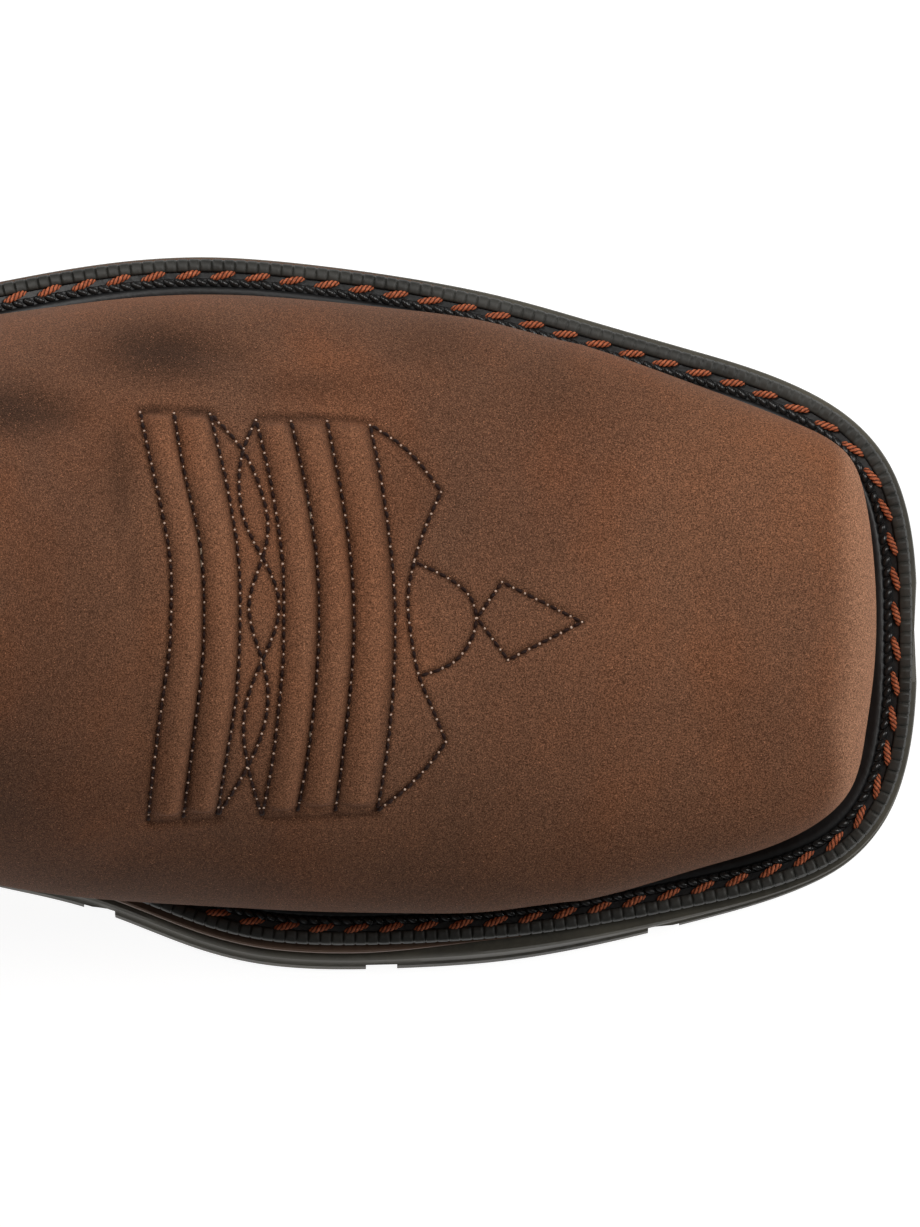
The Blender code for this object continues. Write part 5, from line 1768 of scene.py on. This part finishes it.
def make_heel(looks):
    outline = sole_outline()
    low, high = HEEL_LIFT_THICKNESS + GAP, HEEL_RISE + LUG_DEPTH - GAP
    layers = 4
    levels = []
    for k in range(layers):
        for share, notch in ((0.0, 0.0005), (0.10, 0.0), (0.90, 0.0), (1.0, 0.0005)):
            at = (k + share) / layers
            inset = HEEL_TAPER + at * (HEEL_TOP_INSET - HEEL_TAPER) + notch
            levels.append((np.full(len(outline), inset), lambda x, z=low + at * (high - low): z))
    levels = [pair for k, pair in enumerate(levels) if k % 4 or k == 0]
    loaf("heel_block", outline, levels, 90, [looks["sole"]], node="heel",
         end=HEEL_LENGTH - BREAST_SET_BACK)


def make_heel_lift(looks):
    outline = sole_outline()
    taper = np.full(len(outline), HEEL_TAPER)
    levels = [
        (taper + 0.0005, lambda x: 0.0),
        (taper, lambda x: 0.0005),
        (taper, lambda x: HEEL_LIFT_THICKNESS - 0.0004),
        (taper + 0.0004, lambda x: HEEL_LIFT_THICKNESS),
    ]
    lift = loaf("heel_lift_rubber", outline, levels, 90, [looks["sole"]],
                node="heel_lift", end=HEEL_LENGTH - BREAST_SET_BACK)
    height = 0.010
    boxes = []
    for k in range(HEEL_GROOVES):
        x = HEEL_LENGTH - (k + 1) * HEEL_GROOVE_PITCH
        boxes.append(((x, 0.0, HEEL_GROOVE_DEPTH - 0.5 * height),
                      (0.5 * GROOVE_WIDTH, BALL_WIDTH, height), 0.0))
    carve(lift, boxes)


def make_footbed(form, looks):
    """Insole plate with a soft rolled edge."""
    toe_u = -np.linspace(1.0, 0.0, 60, endpoint=False)
    u_values = np.concatenate([toe_u, np.linspace(0.0, 1.0, 500)])
    sides = []
    for side in (LATERAL, MEDIAL):
        points = np.array([form.half(side, u, [0.0])[0] for u in u_values])
        points = points[points[:, 2] < feather(points[:, 0]) + SEAT_GAP]
        sides.append(points[:, :2][::-1])
    loop = np.vstack([sides[LATERAL], sides[MEDIAL][::-1]])
    knots = chord_params(loop)
    loop = read_at(np.linspace(0.0, knots[-1], 1600), knots, loop)
    base = VAMP_THICKNESS + 4 * GAP
    levels = [
        (base, feather),
        (base, lambda x: feather(x) + INSOLE_THICKNESS - 0.0012),
        (base + 0.0004, lambda x: feather(x) + INSOLE_THICKNESS - 0.0003),
        (base + 0.0014, lambda x: feather(x) + INSOLE_THICKNESS),
    ]
    tail = inset_curve(loop, base)
    keep = tail[:, 0] > loop[:, 0].min() + base
    outline = loop[keep]
    loaf("footbed", outline, levels, 110, [looks["footbed"]], node="insole",
         end=float(tail[:, 0].max()) - 4 * SEAT_GAP)


# Trim


def highest_below(below, steps):
    """Where below(u) turns false between the ankle and the top, by halving."""
    low, high = SHAFT_FROM, 1.0
    for _ in range(steps):
        middle = 0.5 * (low + high)
        if below(middle):
            low = middle
        else:
            high = middle
    return 0.5 * (low + high)


def collar_point(form, side, t, drop):
    def below(u):
        point = form.half(side, u, [t])[0]
        return point[2] < collar_line(point[0]) - drop

    return highest_below(below, 22)


def form_normal(form, side, u, t):
    step = 0.004
    t_low, t_high = max(t - step, 0.0), min(t + step, 1.0)
    across = form.half(side, u, [t_high])[0] - form.half(side, u, [t_low])[0]
    along = form.half(side, min(u + step, 1.0), [t])[0] - form.half(side, u - step, [t])[0]
    normal = np.cross(across, along)
    normal /= np.linalg.norm(normal)
    if normal[1] * SIDE_SIGN[side] < 0 and 0.02 < t < 0.98:
        normal = -normal
    if t <= 0.02 and normal[0] > 0:
        normal = -normal
    if t >= 0.98 and normal[0] < 0:
        normal = -normal
    return normal


def collar_ring(form, side, t, profile):
    """Stands a profile of (outward, upward) points on the collar, following the wall."""
    drops = sorted({max(-up, 0.0) for _, up in profile})
    params = {drop: collar_point(form, side, t, drop) for drop in drops}
    normal = form_normal(form, side, params[drops[0]], t)
    flat = np.array([normal[0], normal[1], 0.0])
    flat /= np.linalg.norm(flat)
    ring = []
    for off, up in profile:
        here = form.half(side, params[max(-up, 0.0)], [t])[0]
        point = here + flat * off
        if up >= 0.0:
            point[2] = float(collar_line(point[0])) + up
        ring.append(point)
    return ring


def sweep(name, rings, closed, looks, node):
    """A bar through rings of points, closed into a loop or with flat ends."""
    count, sides = len(rings), len(rings[0])
    faces = ring_faces(count, sides, closed=True) if closed else capped_faces(count, sides)
    face_outward(make_piece(name, np.array(rings).reshape(-1, 3), faces, looks,
                            sharp=TRIM_SHARP, node=node))


def make_binding(form, looks, threads):
    outer = shaft_face()
    inner = outer - SHAFT_THICKNESS
    thick = BINDING_THICKNESS
    half = 0.5 * SHAFT_THICKNESS
    middle = 0.5 * (outer + inner)
    cap = [(middle + (half + GAP + thick) * math.cos(a), SEAT_GAP + thick * math.sin(a))
           for a in np.linspace(0.0, math.pi, 9)]
    profile = [(outer + GAP, -BINDING_DEPTH), (outer + GAP + 0.6 * thick, -BINDING_DEPTH - 0.0001),
               (outer + GAP + thick, -BINDING_DEPTH + 0.0005)]
    profile += cap
    profile += [(inner - GAP - thick, -BINDING_DEPTH + 0.0005),
                (inner - GAP - 0.6 * thick, -BINDING_DEPTH - 0.0001), (inner - GAP, -BINDING_DEPTH),
                (inner - GAP, SEAT_GAP), (outer + GAP, SEAT_GAP)]
    columns = np.linspace(0.0, 1.0, 49)
    stations = [(LATERAL, t) for t in columns] + [(MEDIAL, t) for t in columns[-2:0:-1]]
    rings = [collar_ring(form, side, t, profile) for side, t in stations]
    sweep("collar_binding_leather", rings, True, [looks["trim"]],
          "collar_binding")
    seam = [(outer + GAP + thick, -BINDING_DEPTH + 0.0016)]
    stations.append(stations[0])
    spots = np.array([collar_ring(form, side, t, seam)[0] for side, t in stations])
    ups = np.array([form_normal(form, side, collar_point(form, side, t, BINDING_DEPTH), t)
                    for side, t in stations])
    ups[:, 2] = 0.0
    ups /= np.linalg.norm(ups, axis=1)[:, None]
    sew(threads, spots, ups, SEAM_STITCH_PITCH, SEAM_THREAD_RADIUS)


def strap_profile(outer, inner):
    """The strap's loop over the collar as (outward, upward) points, out and back again."""
    over = BINDING_THICKNESS + 2 * GAP
    middle = 0.5 * (outer + inner)
    half = 0.5 * (outer - inner) + over + GAP
    leg = [(outer + SEAT_GAP, -STRAP_LEG * share) for share in (1.0, 0.85, 0.7, 0.55, 0.4)]
    clear = outer + over + GAP
    leg.append((outer + SEAT_GAP, -BINDING_DEPTH - STRAP_EASE))
    leg += [(clear, -BINDING_DEPTH - SEAT_GAP), (clear, 0.5 * STRAP_EASE)]
    arc = []
    for angle in np.linspace(0.0, math.pi, 21):
        swell = half * math.cos(angle) * (1.0 + STRAP_SWELL * math.sin(angle))
        arc.append((middle + swell, STRAP_EASE + STRAP_LOOP * math.sin(angle)))
    back = [(2 * middle - off, up) for off, up in leg[::-1]]
    near = leg + arc + back
    far = []
    for k, (off, up) in enumerate(near):
        before, after = near[max(k - 1, 0)], near[min(k + 1, len(near) - 1)]
        run = (after[0] - before[0], after[1] - before[1])
        size = math.hypot(*run)
        away = (run[1] / size, -run[0] / size)
        far.append((off + away[0] * STRAP_THICKNESS, up + away[1] * STRAP_THICKNESS))
    return near + far[::-1]


def make_pull_strap(form, side, node, looks, threads):
    outer = shaft_face()
    profile = strap_profile(outer, outer - SHAFT_THICKNESS)
    u_mid = collar_point(form, side, 0.5, 0.0)
    low = form.half(side, u_mid, [0.47])[0]
    high = form.half(side, u_mid, [0.53])[0]
    per_metre = 0.06 / np.linalg.norm(high - low)
    rings = []
    for shift in np.linspace(-0.5, 0.5, 11) * STRAP_WIDTH:
        rings.append(collar_ring(form, side, 0.5 + shift * per_metre, profile))
    sweep(node + "_webbing", rings, False, [looks["webbing"]], node)
    face = outer + SEAT_GAP + STRAP_THICKNESS
    for (a, c), (b, d) in zip(STRAP_BOX, STRAP_BOX[1:]):
        spots, ups = [], []
        for share in np.linspace(0.0, 1.0, 8):
            t = 0.5 + (a + share * (b - a)) * STRAP_WIDTH * per_metre
            drop = -(c + share * (d - c)) * STRAP_LEG
            spots.append(collar_ring(form, side, t, [(face, -drop)])[0])
            ups.append(form_normal(form, side, collar_point(form, side, t, drop), t))
        sew(threads, np.array(spots), np.array(ups), EDGE_STITCH_PITCH, SEAM_THREAD_RADIUS)


def make_side_seam(form, side, node, looks, threads):
    """Cover strip from the upper's top line to under the pull strap."""
    def height(u):
        return form.half(side, u, [0.5])[0][2]

    params = np.linspace(SHAFT_FROM, 1.0, 500)
    falling = np.where(np.diff([height(u) for u in params]) < 0.0)[0]
    first = params[falling[-1] + 1]
    level = COLLAR_HEIGHT - STRAP_LEG - 2 * SEAT_GAP
    last = highest_below(lambda u: height(u) < level, 40)
    a = form.half(side, last, [0.45])[0]
    b = form.half(side, last, [0.55])[0]
    half = 0.5 * SEAM_WIDTH * 0.1 / np.linalg.norm(b - a)
    columns = 9
    across = np.linspace(0.5 - half, 0.5 + half, columns)
    grid = form_field(form, side, np.linspace(first, last, 70), across)
    normals = side_normals(grid, side)
    face = shaft_face() + SEAT_GAP - fold_depth(grid)
    crown = SEAM_THICKNESS * (0.75 + 0.25 * np.sin(np.linspace(0.0, math.pi, columns)))
    outer = grid + normals * (face + crown)[..., None]
    inner = grid + normals * face[..., None]
    rings = [np.vstack([outer[k], inner[k][::-1]]) for k in range(len(grid))]
    sweep(node + "_strip", rings, False, [looks["trim"]], node)
    for column in (1, columns - 2):
        sew(threads, outer[:, column], normals[:, column], SEAM_STITCH_PITCH, SEAM_THREAD_RADIUS)


def make_edge_stitches(outer, normals, counter_edges, counter_normals, threads):
    """Two rows along the upper's top line and one round the counter."""
    rows = outer.shape[0]
    for inset in EDGE_ROWS:
        spots, ups = [], []
        for column in range(0, outer.shape[1], 2):
            line = outer[::-1, column]
            length = chord_params(line[:30])
            k = min(int(np.searchsorted(length, inset)), 28)
            spots.append(line[k])
            ups.append(normals[rows - 1 - k, column])
        sew(threads, np.array(spots), np.array(ups), EDGE_STITCH_PITCH, SEAM_THREAD_RADIUS)
    for edge, ups in zip(counter_edges, counter_normals):
        sew(threads, edge[2:-2], ups[2:-2], EDGE_STITCH_PITCH, SEAM_THREAD_RADIUS)


# Light, floor and camera


def make_stage():
    look = Look("floor_look", Roughness=0.9, Specular_IOR_Level=0.1)
    tone = look.noise(3.0, detail=2.0)
    look.colour(look.ramp(tone, [(0.3, (0.30, 0.30, 0.30)), (0.7, (0.32, 0.32, 0.32))]))
    look.shader.inputs["Emission Color"].default_value = (1.0, 1.0, 1.0, 1.0)
    look.shader.inputs["Emission Strength"].default_value = 0.92
    size = 6.0
    mesh = bpy.data.meshes.new("floor")
    mesh.from_pydata([(-size, -size, 0), (size, -size, 0), (size, size, 0), (-size, size, 0)],
                     [], [(0, 1, 2, 3)])
    mesh.materials.append(look.material)
    add_object("floor", mesh)


def area_light(name, at, aim, size, power, colour=(1.0, 1.0, 1.0)):
    light = bpy.data.lights.new(name, "AREA")
    light.energy = power
    light.size = size
    light.color = colour
    item = add_object(name, light)
    item.location = at
    item.rotation_euler = (Vector(aim) - Vector(at)).to_track_quat("-Z", "Y").to_euler()


def make_light():
    world = bpy.data.worlds.new("studio")
    world.use_nodes = True
    backdrop = world.node_tree.nodes["Background"]
    backdrop.inputs["Color"].default_value = (1.0, 1.0, 1.0, 1.0)
    backdrop.inputs["Strength"].default_value = 0.065
    bpy.context.scene.world = world
    area_light("key", (-0.34, 0.46, 1.05), (0.07, 0.0, 0.05), 0.26, 3.55, (1.0, 0.985, 0.96))
    area_light("overhead", (0.48, 0.22, 0.95), (0.13, 0.0, 0.04), 0.45, 4.95, (1.0, 0.985, 0.96))
    area_light("toe_light", (1.20, 0.20, 0.42), (0.13, 0.0, 0.03), 0.35, 3.1)
    area_light("shaft_light", (-0.9, 0.9, 0.6), (-0.10, 0.0, 0.18), 0.7, 4.0)
    area_light("inner_light", (-0.5, -1.4, 0.40), (-0.08, 0.0, 0.20), 0.8, 1.0)
    bpy.context.scene.view_settings.view_transform = "Standard"


def make_camera():
    data = bpy.data.cameras.new("camera")
    data.sensor_fit = "VERTICAL"
    data.sensor_height = 36.0
    data.lens = data.sensor_height * FOCAL_PX / IMAGE_HEIGHT
    data.clip_end = 50.0
    camera = add_object("camera", data)
    camera.location = CAMERA_AT + SHIFT
    camera.rotation_euler = (CAMERA_TILT, 0.0, 0.0)
    bpy.context.scene.camera = camera


def main():
    looks = make_looks()
    form = UpperForm()
    edge = inset_curve(sole_outline(), flare_inset(sole_outline(), WELT_INSET, 1.0))
    make_camera()
    make_stage()
    make_light()
    make_outsole(looks)
    make_midsole(looks)
    make_heel(looks)
    make_heel_lift(looks)
    make_footbed(form, looks)
    front = outline_part(edge, lambda x: x > HEEL_LENGTH + GAP)
    back = outline_part(edge, lambda x: x < HEEL_LENGTH - GAP)
    welt_strip("welt_strip", edge, front, looks, "welt")
    welt_strip("heel_rand_strip", edge, back, looks, "heel_rand")
    make_beads(edge, front, looks)
    make_welt_stitches(edge, front, looks)
    outer, normals = make_upper(form, looks)
    make_vamp_stitches(outer, looks)
    make_shaft(form, looks)
    counter_edges, counter_normals = make_counter(form, looks)
    threads = Batch()
    make_binding(form, looks, threads)
    make_pull_strap(form, LATERAL, "pull_strap_lateral", looks, threads)
    make_pull_strap(form, MEDIAL, "pull_strap_medial", looks, threads)
    make_side_seam(form, LATERAL, "side_seam_lateral", looks, threads)
    make_side_seam(form, MEDIAL, "side_seam_medial", looks, threads)
    make_edge_stitches(outer, normals, counter_edges, counter_normals, threads)
    threads.make("seam_stitches", [looks["brown_thread"]])


main()
